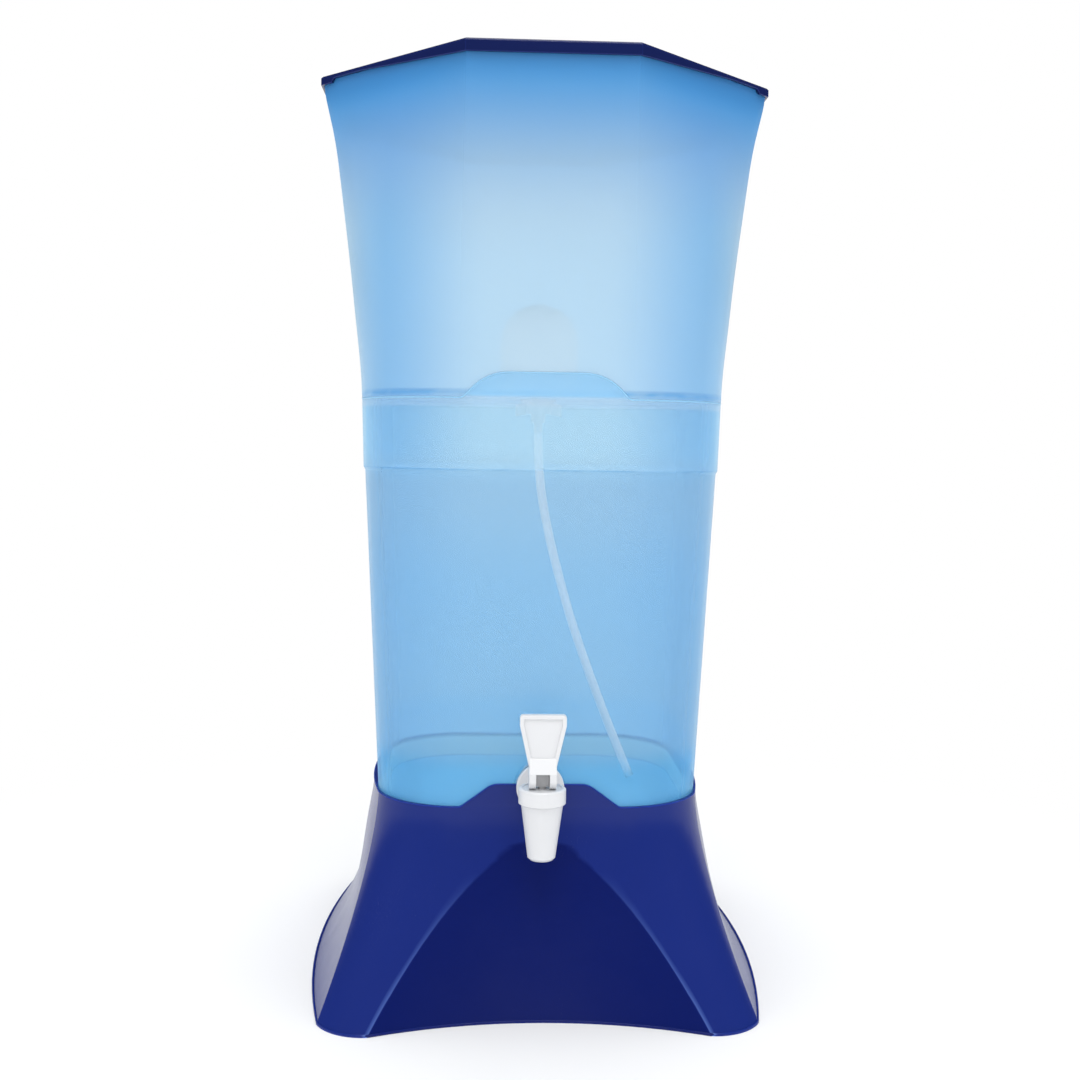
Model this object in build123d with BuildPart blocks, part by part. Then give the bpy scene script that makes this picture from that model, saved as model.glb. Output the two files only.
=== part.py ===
"""Gravity water filter with a lever tap: two stacked containers on a flared stand.

Millimetres, +Z up. The origin is the middle of the stand's footprint on the table.
The tap faces -Y.
"""

from build123d import *
import math
import os

os.makedirs("parts", exist_ok=True)

# ---------------------------------------------------------------- driving dimensions

# heights above the table
SHELF_TOP = 97.5  # the lower container stands here, inside the stand
RIM_STAND = 115.2
HUMP_STAND = 128.7
STEP_LOW, STEP_HIGH = 309.4, 311.4  # the lower container steps out to its collar
LEDGE = 311.6  # the upper container's skirt stands here
RIM_LOWER = 352.5
HUMP_LOWER = 367.2
RIM_UPPER = 544.0
LID_TOP = 546.7

# walls
CONTAINER_WALL = 2.0
CONTAINER_FLOOR = 2.5
FLOOR_ROUNDING = 5.0
COLLAR_WALL = 1.9
NEST_GAP = 0.4  # between parts that lift out of each other

# sections of the containers: height, half width, half of the flat front, roundness of the
# corners (1 is a quarter circle, 0 a straight chamfer)
LOWER_SECTIONS = [
    (SHELF_TOP, 96.6, 46.0, 1.0),
    (STEP_LOW, 107.3, 49.0, 1.0),
]
COLLAR_SECTIONS = [
    (STEP_HIGH, 108.3, 49.5, 1.0),
    (RIM_LOWER, 109.6, 49.5, 1.0),
]
UPPER_SECTIONS = [
    (RIM_LOWER, 109.6, 49.5, 1.0),
    (HUMP_LOWER, 110.5, 49.5, 0.97),
    (378.0, 111.6, 49.5, 0.94),
    (404.0, 114.6, 49.5, 0.86),
    (450.0, 119.9, 49.0, 0.62),
    (495.0, 125.7, 48.5, 0.34),
    (524.0, 131.3, 47.9, 0.12),
    (535.0, 133.8, 47.7, 0.05),
    (RIM_UPPER, 134.5, 47.6, 0.0),
]

# humps in the front of both rims: rim, top, half width at the foot and at the top, and the
# rounding of the top corners and of the foot corners
LOWER_HUMP = (RIM_LOWER, HUMP_LOWER, 47.8, 34.6, 30.0, 5.0)
STAND_HUMP = (RIM_STAND, HUMP_STAND, 46.5, 28.0, 12.0, 5.0)
BEYOND = 200.0  # reach of cuts that pass everything

# stand
STAND_WALL = 2.4
STAND_TOP_HALF = 100.2  # half depth at the rim
STAND_TOP_CREASE = (95.9, 66.5)
STAND_TOP_CORNER = (48.0, 100.0)
STAND_CREASE = (124.8, 128.5)  # where the crease meets the table
STAND_FRONT_CORNER = (94.5, 145.5)  # end of the front's corner curve at the table
STAND_BACK_CORNER = (94.5, 139.5)
STAND_FRONT_FOOT = 151.5  # reach of the front's curve, before the hollow is taken out
STAND_BACK_FOOT = 145.6
STAND_CORNER_TOP, STAND_CORNER_FOOT = 9.5, 5.5  # how far each corner curve bows out
FLARE_POWER = 1.52
# height, and half width of the sides at mid-depth
STAND_SIDES = [
    (0.0, 138.6),
    (8.0, 131.0),
    (20.0, 123.8),
    (45.0, 113.8),
    (70.0, 109.0),
    (95.0, 105.3),
    (RIM_STAND, 103.0),
]
SHELF_THICKNESS = 3.0
SHELF_OPENING = 148.0
SHELF_OPENING_CORNER = 34.0
# arched hollow in the stand's front: height, depth of its middle and sagitta over its chord
HOLLOW_CHORD = 100.0
HOLLOW_LOW = (-2.0, 128.1, 20.4)
HOLLOW_HIGH = (103.0, 101.8, 5.6)

# lid
LID_HALF = 136.6
LID_FLAT = 48.4
LID_PLATE = 2.6
LID_SKIRT = 7.2
LID_SKIRT_WALL = 1.6
LID_SIDE_SKIRT = 5.2
LID_SKIRT_RUN = 0.7  # share of each chamfer along which the skirt runs out
LID_CORNER_TAB = 12.0  # length of the tab that hangs at each side corner
LID_EDGE = 1.1
LID_PLUG_DEPTH = 11.0
LID_PLUG_WALL = 2.0
LID_PLUG_GAP = 0.6
LID_PANEL_INSET = 20.0
LID_PANEL_RISE = 3.4
LID_PANEL_EDGE = 3.0

# filter candle, on the axis of the upper container
FLOOR_TOP = 357.5
FLOOR_UNDER = 355.0
CANDLE_R = 25.0
CANDLE_TOP = 416.5
CANDLE_WALL = 8.0
CUP_R = 27.0
CUP_FLOOR = 2.6
CUP_RIM = 9.0
CUP_EDGE = 0.8
PAD_THICKNESS = 4.0
CORE_GAP = 0.2
STEM_R = 5.0
STEM_HOLE_R = 5.3
STEM_END = 340.0
STEM_BORE = 1.5
STEM_RINGS, STEM_RING_PITCH, STEM_RING_WIDTH, STEM_RING_DEPTH = 6, 1.5, 0.6, 0.5
NIPPLE_R = 2.9
NIPPLE_END = 334.0
NUT_LOW = 345.5
NUT_R = 8.0
NUT_FLANGE_R, NUT_FLANGE = 11.5, 2.0
WING_ROOT, WING_REACH, WING_THICKNESS, WING_DROP = 7.0, 15.0, 2.6, 1.5
GASKET_R = 14.0
GASKET_THICKNESS = 1.5

# outlet hose
HOSE_R = 2.9
RUN_SHARE = 0.45  # how much of a run each of its two arcs may take
HOSE_ROUTE = [
    (0.0, 0.0, NIPPLE_END),
    (0.4, 0.3, 315.0),
    (3.2, 1.2, 290.0),
    (9.2, 2.8, 262.0),
    (16.2, 4.8, 236.0),
    (24.0, 7.2, 210.0),
    (33.2, 9.8, 184.0),
    (43.2, 12.7, 158.0),
    (53.6, 16.0, 132.0),
    (65.4, 19.4, 104.4),
]

# tap
TAP_Y = -125.0  # spout axis
SHANK_Z = 127.0
SHANK_R = 8.0
SHANK_BORE = 3.2
SHANK_END = -80.0
BOSS_OUT, BOSS_IN = -96.6, -93.4  # flat faces of the container wall around the shank
BOSS_R = 15.0
BOSS_REACH = 10.0
FLANGE_R = 13.9
FLANGE_BACK, FLANGE_FRONT = -100.5, -103.5
FLANGE_EDGE = 1.0
SHANK_RINGS, SHANK_RING_PITCH, SHANK_RING_WIDTH, SHANK_RING_DEPTH = 7, 1.9, 0.8, 0.6
NECK_R, NECK_END = 7.0, -113.65
NOTCH_R, NOTCH_GAP = 9.6, 0.3  # notch in the stand's hump for the shank and its gasket
COLLAR_R, COLLAR_LOW, COLLAR_TOP = 13.4, SHANK_Z - 3.0, SHANK_Z + 6.3
CONE_TOP_R, CONE_END_R, SPOUT_END = 11.9, 7.9, SHANK_Z - 34.2
COLLAR_EDGE, SPOUT_EDGE = 0.8, 1.2
SEAT = SHANK_Z - 19.0
SEAT_BORE = 4.6
SEAT_DEPTH, THROAT, OUTLET_R = 3.0, 3.0, 6.2
CHAMBER_LOW_R, CHAMBER_TOP_R = 7.9, 9.8
BONNET_R, BONNET_LOW, BONNET_TOP = 11.3, SHANK_Z + 3.3, SHANK_Z + 5.8
GUIDE_R, GUIDE_DEPTH = 3.1, 2.6
TAP_STEM_R = 2.2
TAP_STEM_LOW = SEAT + 2.2
RUNNING_GAP = 0.06
SEAL_R, SEAL_TOP = 6.4, SEAT + 5.4
SEAL_NOSE, SEAL_ROOT, SEAL_SHOULDER = 2.4, 4.1, 5.2  # radii of its nose and shoulder
SEAL_DIP, SEAL_LIP = 1.4, 2.0  # how far the nose dips into the seat, height of the outer edge
DISC_R, DISC = 4.6, 0.9  # disc on the stem that presses on the seal
PIN_Z = SHANK_Z + 11.5
PIN_R, PIN_HALF, PIN_EDGE = 1.5, 7.4, 0.3
LEVER_HALF = 7.7
SLOT_HALF = 3.85
SLOT_TOP, SLOT_HEIGHT = PIN_Z + 3.9, 16.0
HEAD_HALF = SLOT_HALF - 0.2
HEAD_DEEP, HEAD_EDGE = 5.2, 2.0
HEAD_LOW, HEAD_TOP = PIN_Z - 4.1, PIN_Z + 3.4
CAM_LOW, CAM_FRONT = 5.6, 8.7  # from the pin to the lever's underside and front
CAM_BACK_TOP, CAM_FRONT_TOP, WEDGE_TOP = PIN_Z + 3.0, PIN_Z + 4.0, PIN_Z + 12.0
PADDLE_TOP = SHANK_Z + 47.8
PADDLE_SHOULDER = PADDLE_TOP - 6.0
PADDLE_HALF = 13.1
PADDLE_NECK = SHANK_Z + 18.0
PADDLE_FRONT, PADDLE_BACK = -3.6, 0.4  # from the spout axis
PADDLE_EDGE, PADDLE_BORDER, PADDLE_RECESS = 1.8, 2.4, 0.9

TAP_NUT_THICKNESS, TAP_NUT_HALF, TAP_NUT_EDGE = 7.0, 12.0, 1.0
INNER_GASKET, INNER_GASKET_R = 2.0, 13.0

SPRING_WIRE = 0.45
SPRING_R = 3.8
SPRING_TURNS = 7


# ---------------------------------------------------------------- shared outlines

QUARTER_SAGITTA = 1 - math.cos(math.radians(45))


def eight_sided(height, half, flat, roundness):
    """Outline with four flats and four corners that run from quarter circle to chamfer."""
    bow = roundness * QUARTER_SAGITTA * (half - flat)
    middle = (half + flat) / 2 + bow * math.cos(math.radians(45))
    with BuildSketch(Plane.XY.offset(height)) as outline:
        with BuildLine():
            for turn in range(4):
                start, end = Vector(flat, -half), Vector(half, -flat)
                side, bend = Vector(-flat, -half), Vector(middle, -middle)
                start, end, side, bend = (
                    point.rotate(Axis.Z, 90 * turn) for point in (start, end, side, bend)
                )
                Line(side, start)
                if bow > 0.05:
                    ThreePointArc(start, bend, end)
                else:
                    Line(start, end)
        make_face()
    return outline.sketch


def section_at(sections, height):
    """Half width, flat and roundness at a height, straight between the listed sections."""
    for low, high in zip(sections, sections[1:]):
        if height <= high[0]:
            break
    share = (height - low[0]) / (high[0] - low[0])
    return [a + share * (b - a) for a, b in zip(low[1:], high[1:])]


def shell_levels(sections, low, high, inset):
    """Outlines from low to high, moved inwards by inset."""
    inner = [s[0] for s in sections if low + 1 < s[0] < high - 1]
    outlines = []
    for height in [low, *inner, high]:
        half, flat, roundness = section_at(sections, height)
        flat -= inset * math.tan(math.radians(22.5)) * (1 - roundness)
        outlines.append(eight_sided(height, half - inset, flat, roundness))
    return outlines


def hump_side(hump, margin=0.0, above=True):
    """Front view of all that is above, or below, a rim with a hump, moved out by a margin."""
    rim, top, foot, shoulder, rounding, foot_rounding = hump
    shift = margin * math.tan(math.atan2(top - rim, foot - shoulder) / 2)
    rim, top, foot, shoulder = rim + margin, top + margin, foot + shift, shoulder + shift
    outer, inner = foot_rounding - margin, rounding + margin
    far = rim + BEYOND if above else rim - BEYOND
    with BuildSketch(Plane.XZ) as profile:
        with BuildLine():
            run = FilletPolyline(
                (-BEYOND, rim),
                (-foot, rim),
                (-shoulder, top),
                (shoulder, top),
                (foot, rim),
                (BEYOND, rim),
                radius=[outer, inner, inner, outer],
            )
            Polyline(run @ 1, (BEYOND, far), (-BEYOND, far), run @ 0)
        make_face()
    return profile.sketch


def back_half(height):
    """Plan of everything behind the middle, at a height."""
    with BuildSketch(Plane.XY.offset(height)) as outline:
        with Locations((0, BEYOND / 2)):
            Rectangle(2 * BEYOND, BEYOND)
    return outline.sketch


def flare(height):
    """0 at the stand's rim and 1 at its foot."""
    return ((RIM_STAND - height) / RIM_STAND) ** FLARE_POWER


def between(top, foot, out):
    """A size or a point on the way from the stand's rim (out = 0) to its foot (out = 1)."""
    return top + (foot - top) * out


def stand_outline(height, side, inset=0.0):
    """The stand's outline: bowed sides that meet the front and back at creases."""
    out = flare(height)
    side -= inset
    crease = between(Vector(*STAND_TOP_CREASE), Vector(*STAND_CREASE), out)
    crease -= Vector(inset, inset * out)
    bow = between(STAND_CORNER_TOP, STAND_CORNER_FOOT, out)
    faces = ((-1, STAND_FRONT_CORNER, STAND_FRONT_FOOT), (1, STAND_BACK_CORNER, STAND_BACK_FOOT))
    with BuildSketch(Plane.XY.offset(height)) as outline:
        with BuildLine():
            for y_sign, foot_corner, foot_reach in faces:
                corner = between(Vector(*STAND_TOP_CORNER), Vector(*foot_corner), out)
                corner -= Vector(0.3 * inset * out, inset)
                reach = between(STAND_TOP_HALF, foot_reach, out) - inset
                chord = corner - crease
                outward = Vector(chord.Y, -chord.X).normalized()
                bend = (crease + corner) * 0.5 + outward * bow
                ThreePointArc(
                    (-corner.X, y_sign * corner.Y), (0, y_sign * reach), (corner.X, y_sign * corner.Y)
                )
                for x_sign in (-1, 1):
                    ThreePointArc(
                        (x_sign * corner.X, y_sign * corner.Y),
                        (x_sign * bend.X, y_sign * bend.Y),
                        (x_sign * crease.X, y_sign * crease.Y),
                    )
            for x_sign in (-1, 1):
                ThreePointArc(
                    (x_sign * crease.X, -crease.Y), (x_sign * side, 0), (x_sign * crease.X, crease.Y)
                )
        make_face()
    return outline.sketch


def hollow_outline(height, depth, sagitta, set_back=0.0):
    """Plan of what the arched hollow takes from the stand's front at one height."""
    middle = -(depth - set_back)
    ends = middle - sagitta
    with BuildSketch(Plane.XY.offset(height)) as outline:
        with BuildLine():
            ThreePointArc((-HOLLOW_CHORD, ends), (0, middle), (HOLLOW_CHORD, ends))
            Polyline(
                (HOLLOW_CHORD, ends),
                (HOLLOW_CHORD, -BEYOND),
                (-HOLLOW_CHORD, -BEYOND),
                (-HOLLOW_CHORD, ends),
            )
        make_face()
    return outline.sketch


def shank_plan(y, radius, hole=0.0):
    """Disc or ring round the shank's axis, in an upright plane at y."""
    with BuildSketch(Plane.XZ.offset(-y)) as plan:
        with Locations((0, SHANK_Z)):
            Circle(radius)
            if hole:
                Circle(hole, mode=Mode.SUBTRACT)
    return plan.sketch


# ---------------------------------------------------------------- stand

with BuildPart() as hollow_cut:
    loft([hollow_outline(*HOLLOW_LOW), hollow_outline(*HOLLOW_HIGH)], ruled=True)

with BuildPart() as hollow_back:
    loft(
        [
            hollow_outline(*HOLLOW_LOW, set_back=STAND_WALL),
            hollow_outline(*HOLLOW_HIGH, set_back=STAND_WALL),
        ],
        ruled=True,
    )

with BuildPart() as stand_core:
    loft([stand_outline(*level, STAND_WALL) for level in STAND_SIDES])
    with BuildSketch(Plane.XY.offset(SHELF_TOP - SHELF_THICKNESS)):
        Rectangle(2 * BEYOND, 2 * BEYOND)
    extrude(amount=BEYOND, mode=Mode.SUBTRACT)
    add(hollow_back.part, mode=Mode.SUBTRACT)

POCKET_SECTIONS = [(h, half + NEST_GAP, flat, k) for h, half, flat, k in LOWER_SECTIONS]

with BuildPart() as stand:
    loft([stand_outline(*level) for level in STAND_SIDES])
    extrude(stand_outline(*STAND_SIDES[-1]), amount=HUMP_STAND - RIM_STAND)
    add(hollow_cut.part, mode=Mode.SUBTRACT)
    add(stand_core.part, mode=Mode.SUBTRACT)
    loft(shell_levels(POCKET_SECTIONS, SHELF_TOP, HUMP_STAND + 1, 0.0), ruled=True, mode=Mode.SUBTRACT)
    with BuildSketch(Plane.XY.offset(SHELF_TOP - SHELF_THICKNESS)):
        RectangleRounded(SHELF_OPENING, SHELF_OPENING, SHELF_OPENING_CORNER)
    extrude(amount=SHELF_THICKNESS, mode=Mode.SUBTRACT)
    extrude(hump_side(STAND_HUMP), amount=BEYOND, mode=Mode.SUBTRACT)
    extrude(back_half(RIM_STAND), amount=BEYOND, mode=Mode.SUBTRACT)
    with BuildSketch(Plane.XZ):
        with Locations((0, SHANK_Z)):
            Circle(NOTCH_R)
        with Locations((0, SHANK_Z + NOTCH_R)):
            Rectangle(2 * NOTCH_R, 2 * NOTCH_R)
    extrude(amount=BEYOND, mode=Mode.SUBTRACT)
stand.part.label = "stand"

# ---------------------------------------------------------------- containers

HUMP_SECTIONS = UPPER_SECTIONS[:2]  # the hump stands flush with the upper container
HUMP_GAP = COLLAR_WALL + NEST_GAP
# the upper container's skirt fits inside the collar
SKIRT_SECTIONS = [(h, half - HUMP_GAP, flat, k) for h, half, flat, k in COLLAR_SECTIONS]

with BuildPart() as collar_above:
    loft(shell_levels(HUMP_SECTIONS, RIM_LOWER, HUMP_LOWER, 0.0), ruled=True)
    extrude(hump_side(LOWER_HUMP), amount=BEYOND, mode=Mode.SUBTRACT)
    extrude(back_half(RIM_LOWER), amount=BEYOND, mode=Mode.SUBTRACT)

with BuildPart() as lower_container:
    loft(shell_levels(LOWER_SECTIONS, SHELF_TOP, STEP_LOW, 0.0), ruled=True)
    fillet(lower_container.faces().sort_by(Axis.Z)[0].edges(), radius=FLOOR_ROUNDING)
    step_low = eight_sided(*LOWER_SECTIONS[-1])
    step_high = eight_sided(*COLLAR_SECTIONS[0])
    loft([step_low, step_high], ruled=True)
    loft(shell_levels(COLLAR_SECTIONS, STEP_HIGH, RIM_LOWER, 0.0), ruled=True)
    add(collar_above.part)
    extrude(shank_plan(BOSS_OUT, BOSS_R), amount=-BOSS_REACH)
    extrude(shank_plan(BOSS_OUT, BOSS_R), amount=BOSS_REACH, mode=Mode.SUBTRACT)
    loft(
        shell_levels(LOWER_SECTIONS, SHELF_TOP + CONTAINER_FLOOR, LEDGE, CONTAINER_WALL),
        ruled=True,
        mode=Mode.SUBTRACT,
    )
    loft(shell_levels(COLLAR_SECTIONS, LEDGE, RIM_LOWER, COLLAR_WALL), ruled=True, mode=Mode.SUBTRACT)
    loft(
        shell_levels(HUMP_SECTIONS, RIM_LOWER, HUMP_LOWER, COLLAR_WALL),
        ruled=True,
        mode=Mode.SUBTRACT,
    )
    extrude(shank_plan(BOSS_IN, BOSS_R), amount=BOSS_IN - BOSS_OUT)
    extrude(shank_plan(0.0, SHANK_R + RUNNING_GAP), amount=BEYOND, mode=Mode.SUBTRACT)
lower_container.part.label = "lower_container"

BODY_LOW = RIM_LOWER + NEST_GAP
POCKET_TOP = HUMP_LOWER + 3 * NEST_GAP + CONTAINER_WALL

# the upper container is set back behind the hump: this much is taken off it there ...
with BuildPart() as hump_pocket:
    extrude(hump_side(LOWER_HUMP, NEST_GAP, above=False), amount=BEYOND)
    loft(
        shell_levels(UPPER_SECTIONS, RIM_LOWER, POCKET_TOP, HUMP_GAP),
        ruled=True,
        mode=Mode.SUBTRACT,
    )
    with BuildSketch(Plane.XY.offset(RIM_LOWER)):
        Rectangle(2 * BEYOND, 2 * BEYOND)
    extrude(amount=-BEYOND, mode=Mode.SUBTRACT)
    extrude(back_half(RIM_LOWER), amount=BEYOND, mode=Mode.SUBTRACT)

# ... and this much of its wall stands behind that
with BuildPart() as pocket_wall:
    extrude(hump_side(LOWER_HUMP, NEST_GAP + CONTAINER_WALL, above=False), amount=BEYOND)
    loft(
        shell_levels(UPPER_SECTIONS, RIM_LOWER, POCKET_TOP, HUMP_GAP + CONTAINER_WALL),
        ruled=True,
        mode=Mode.SUBTRACT,
    )
    with BuildSketch(Plane.XY.offset(FLOOR_UNDER)):
        Rectangle(2 * BEYOND, 2 * BEYOND)
    extrude(amount=-BEYOND, mode=Mode.SUBTRACT)
    extrude(back_half(RIM_LOWER), amount=BEYOND, mode=Mode.SUBTRACT)

with BuildPart() as upper_space:
    loft(shell_levels(UPPER_SECTIONS, FLOOR_TOP, RIM_UPPER, CONTAINER_WALL))
    add(pocket_wall.part, mode=Mode.SUBTRACT)

with BuildPart() as upper_container:
    loft(shell_levels(UPPER_SECTIONS, BODY_LOW, RIM_UPPER, 0.0))
    loft(shell_levels(SKIRT_SECTIONS, LEDGE, BODY_LOW, 0.0), ruled=True)
    loft(shell_levels(SKIRT_SECTIONS, LEDGE, FLOOR_UNDER, CONTAINER_WALL), ruled=True, mode=Mode.SUBTRACT)
    add(upper_space.part, mode=Mode.SUBTRACT)
    add(hump_pocket.part, mode=Mode.SUBTRACT)
    with BuildSketch(Plane.XY.offset(LEDGE)):
        Circle(STEM_HOLE_R)
    extrude(amount=FLOOR_TOP - LEDGE, mode=Mode.SUBTRACT)
upper_container.part.label = "upper_container"

# ---------------------------------------------------------------- lid

PLATE_UNDER = LID_TOP - LID_PLATE
LID_INNER_FLAT = LID_FLAT - LID_SKIRT_WALL * math.tan(math.radians(22.5))
SKIRT_LOW = LID_TOP - LID_SKIRT
SKIRT_INNER = LID_HALF - LID_SKIRT_WALL
PLUG_LOW = RIM_UPPER - LID_PLUG_DEPTH


def panel_outline(height, inset):
    """Outline of the lid's raised panel."""
    half = LID_HALF - LID_PANEL_INSET - inset
    return eight_sided(height, half, LID_FLAT - LID_PANEL_INSET / 2 - inset / 2, 0)


with BuildPart() as lid_panel:
    extrude(panel_outline(PLATE_UNDER, 0.0), amount=LID_PLATE + LID_PANEL_RISE)
    chamfer(lid_panel.faces().sort_by(Axis.Z)[-1].edges(), length=LID_PANEL_EDGE)

with BuildPart() as lid_panel_space:
    extrude(panel_outline(PLATE_UNDER, LID_PLATE), amount=LID_PANEL_RISE)
    chamfer(lid_panel_space.faces().sort_by(Axis.Z)[-1].edges(), length=LID_PANEL_EDGE)


def plug_outline(height, rim_height, inset):
    """Outline of the lid's plug, which follows the inside of the container's mouth."""
    half = section_at(UPPER_SECTIONS, rim_height)[0] - CONTAINER_WALL - LID_PLUG_GAP - inset
    flat = LID_FLAT - CONTAINER_WALL - inset * math.tan(math.radians(22.5))
    return eight_sided(height, half, flat, 0)


with BuildPart() as lid:
    extrude(eight_sided(SKIRT_LOW, LID_HALF, LID_FLAT, 0), amount=LID_SKIRT)
    extrude(
        eight_sided(SKIRT_LOW, SKIRT_INNER, LID_INNER_FLAT, 0),
        amount=LID_SKIRT - LID_PLATE,
        mode=Mode.SUBTRACT,
    )
    # the skirt runs out along each chamfer, from the front and back faces to the sides
    for x_sign in (-1, 1):
        for y_sign in (-1, 1):
            front = Vector(x_sign * LID_FLAT, y_sign * LID_HALF, 0)
            side = Vector(x_sign * LID_HALF, y_sign * LID_FLAT, 0)
            along = (side - front).normalized()
            length = (side - front).length
            chamfer_plane = Plane(origin=front, x_dir=along, z_dir=along.cross(Vector(0, 0, 1)))
            with BuildSketch(chamfer_plane):
                with BuildLine():
                    Polyline(
                        (LID_SKIRT_WALL, SKIRT_LOW),
                        (LID_SKIRT_RUN * length, PLATE_UNDER),
                        (length - LID_CORNER_TAB, PLATE_UNDER),
                        (length - LID_CORNER_TAB + LID_PLATE, LID_TOP - LID_SIDE_SKIRT),
                        (length + LID_CORNER_TAB, LID_TOP - LID_SIDE_SKIRT),
                        (length + LID_CORNER_TAB, SKIRT_LOW - LID_SKIRT),
                        (LID_SKIRT_WALL, SKIRT_LOW - LID_SKIRT),
                        close=True,
                    )
                make_face()
            extrude(amount=LID_CORNER_TAB, both=True, mode=Mode.SUBTRACT)
    for x_sign in (-1, 1):
        with BuildSketch(Plane.XY.offset(SKIRT_LOW)):
            with Locations((x_sign * LID_HALF, 0)):
                Rectangle(2 * LID_CORNER_TAB, 2 * LID_FLAT)
        extrude(amount=LID_SKIRT - LID_SIDE_SKIRT, mode=Mode.SUBTRACT)
    chamfer(lid.faces().sort_by(Axis.Z)[-1].edges(), length=LID_EDGE)
    # the plug centres the lid in the container's mouth
    for inset, mode in ((0.0, Mode.ADD), (LID_PLUG_WALL, Mode.SUBTRACT)):
        low, high = plug_outline(PLUG_LOW, PLUG_LOW, inset), plug_outline(PLATE_UNDER, RIM_UPPER, inset)
        loft([low, high], ruled=True, mode=mode)
    add(lid_panel.part)
    add(lid_panel_space.part, mode=Mode.SUBTRACT)
lid.part.label = "lid"

# ---------------------------------------------------------------- filter candle

CUP_UNDER = FLOOR_TOP + GASKET_THICKNESS
SHELL_LOW = CUP_UNDER + CUP_FLOOR
DOME_CENTRE = CANDLE_TOP - CANDLE_R
PAD_TOP = SHELL_LOW + PAD_THICKNESS
CORE_R = CANDLE_R - CANDLE_WALL - CORE_GAP

with BuildPart() as candle_shell:
    with BuildSketch(Plane.XZ):
        with BuildLine():
            Polyline(
                (CANDLE_R - CANDLE_WALL, DOME_CENTRE),
                (CANDLE_R - CANDLE_WALL, SHELL_LOW),
                (CANDLE_R, SHELL_LOW),
                (CANDLE_R, DOME_CENTRE),
            )
            CenterArc((0, DOME_CENTRE), CANDLE_R, 0, 90)
            Line((0, CANDLE_TOP), (0, CANDLE_TOP - CANDLE_WALL))
            CenterArc((0, DOME_CENTRE), CANDLE_R - CANDLE_WALL, 0, 90)
        make_face()
    revolve(axis=Axis.Z)
candle_shell.part.label = "candle_shell"

with BuildPart() as carbon_core:
    with BuildSketch(Plane.XY.offset(PAD_TOP)):
        Circle(CORE_R)
    extrude(amount=DOME_CENTRE - PAD_TOP)
    with Locations((0, 0, DOME_CENTRE)):
        Sphere(CORE_R)
carbon_core.part.label = "carbon_core"

with BuildPart() as carbon_pad:
    with BuildSketch(Plane.XY.offset(SHELL_LOW)):
        Circle(CORE_R)
    extrude(amount=PAD_TOP - SHELL_LOW)
carbon_pad.part.label = "carbon_pad"

with BuildPart() as candle_base:
    with BuildSketch(Plane.XY.offset(CUP_UNDER)):
        Circle(CUP_R)
    extrude(amount=CUP_RIM)
    fillet(candle_base.edges().sort_by(Axis.Z)[-1], radius=CUP_EDGE)
    with BuildSketch(Plane.XY.offset(SHELL_LOW)):
        Circle(CANDLE_R)
    extrude(amount=CUP_RIM, mode=Mode.SUBTRACT)
    with BuildSketch(Plane.XY.offset(STEM_END)):
        Circle(STEM_R)
    extrude(amount=CUP_UNDER - STEM_END)
    # thread ridges, as rings
    for ring in range(STEM_RINGS):
        with BuildSketch(Plane.XY.offset(STEM_END + STEM_RING_PITCH * (ring + 0.5))):
            Circle(STEM_R)
            Circle(STEM_R - STEM_RING_DEPTH, mode=Mode.SUBTRACT)
        extrude(amount=STEM_RING_WIDTH, mode=Mode.SUBTRACT)
    with BuildSketch(Plane.XY.offset(NIPPLE_END)):
        Circle(NIPPLE_R)
    extrude(amount=STEM_END - NIPPLE_END)
    with BuildSketch(Plane.XY.offset(NIPPLE_END)):
        Circle(STEM_BORE)
    extrude(amount=SHELL_LOW - NIPPLE_END, mode=Mode.SUBTRACT)
candle_base.part.label = "candle_base"

with BuildPart() as candle_gasket:
    with BuildSketch(Plane.XY.offset(FLOOR_TOP)):
        Circle(GASKET_R)
        Circle(STEM_HOLE_R, mode=Mode.SUBTRACT)
    extrude(amount=GASKET_THICKNESS)
candle_gasket.part.label = "candle_gasket"

NUT_TOP = FLOOR_UNDER - NUT_FLANGE
with BuildPart() as wing_nut:
    with BuildSketch(Plane.XY.offset(NUT_TOP)):
        Circle(NUT_FLANGE_R)
    extrude(amount=NUT_FLANGE)
    with BuildSketch(Plane.XY.offset(NUT_LOW)):
        Circle(NUT_R)
    extrude(amount=NUT_TOP - NUT_LOW)
    for x_sign in (-1, 1):
        with BuildSketch(Plane.XZ.offset(-WING_THICKNESS / 2)):
            with BuildLine():
                Polyline(
                    (x_sign * WING_ROOT, NUT_TOP),
                    (x_sign * WING_REACH, NUT_TOP - WING_DROP),
                    (x_sign * WING_REACH, NUT_LOW - WING_DROP),
                    (x_sign * WING_ROOT, NUT_LOW),
                    close=True,
                )
            make_face()
        extrude(amount=WING_THICKNESS)
    with BuildSketch(Plane.XY.offset(NUT_LOW)):
        Circle(STEM_R + RUNNING_GAP)
    extrude(amount=FLOOR_UNDER - NUT_LOW, mode=Mode.SUBTRACT)
wing_nut.part.label = "wing_nut"

# ---------------------------------------------------------------- outlet hose


def corner_radii(points):
    """The largest arc that each corner's two runs allow."""
    radii = []
    for before, corner, after in zip(points, points[1:], points[2:]):
        first, second = Vector(corner) - Vector(before), Vector(after) - Vector(corner)
        turn = math.radians(first.get_angle(second))
        radii.append(RUN_SHARE * min(first.length, second.length) / math.tan(turn / 2))
    return radii


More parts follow.
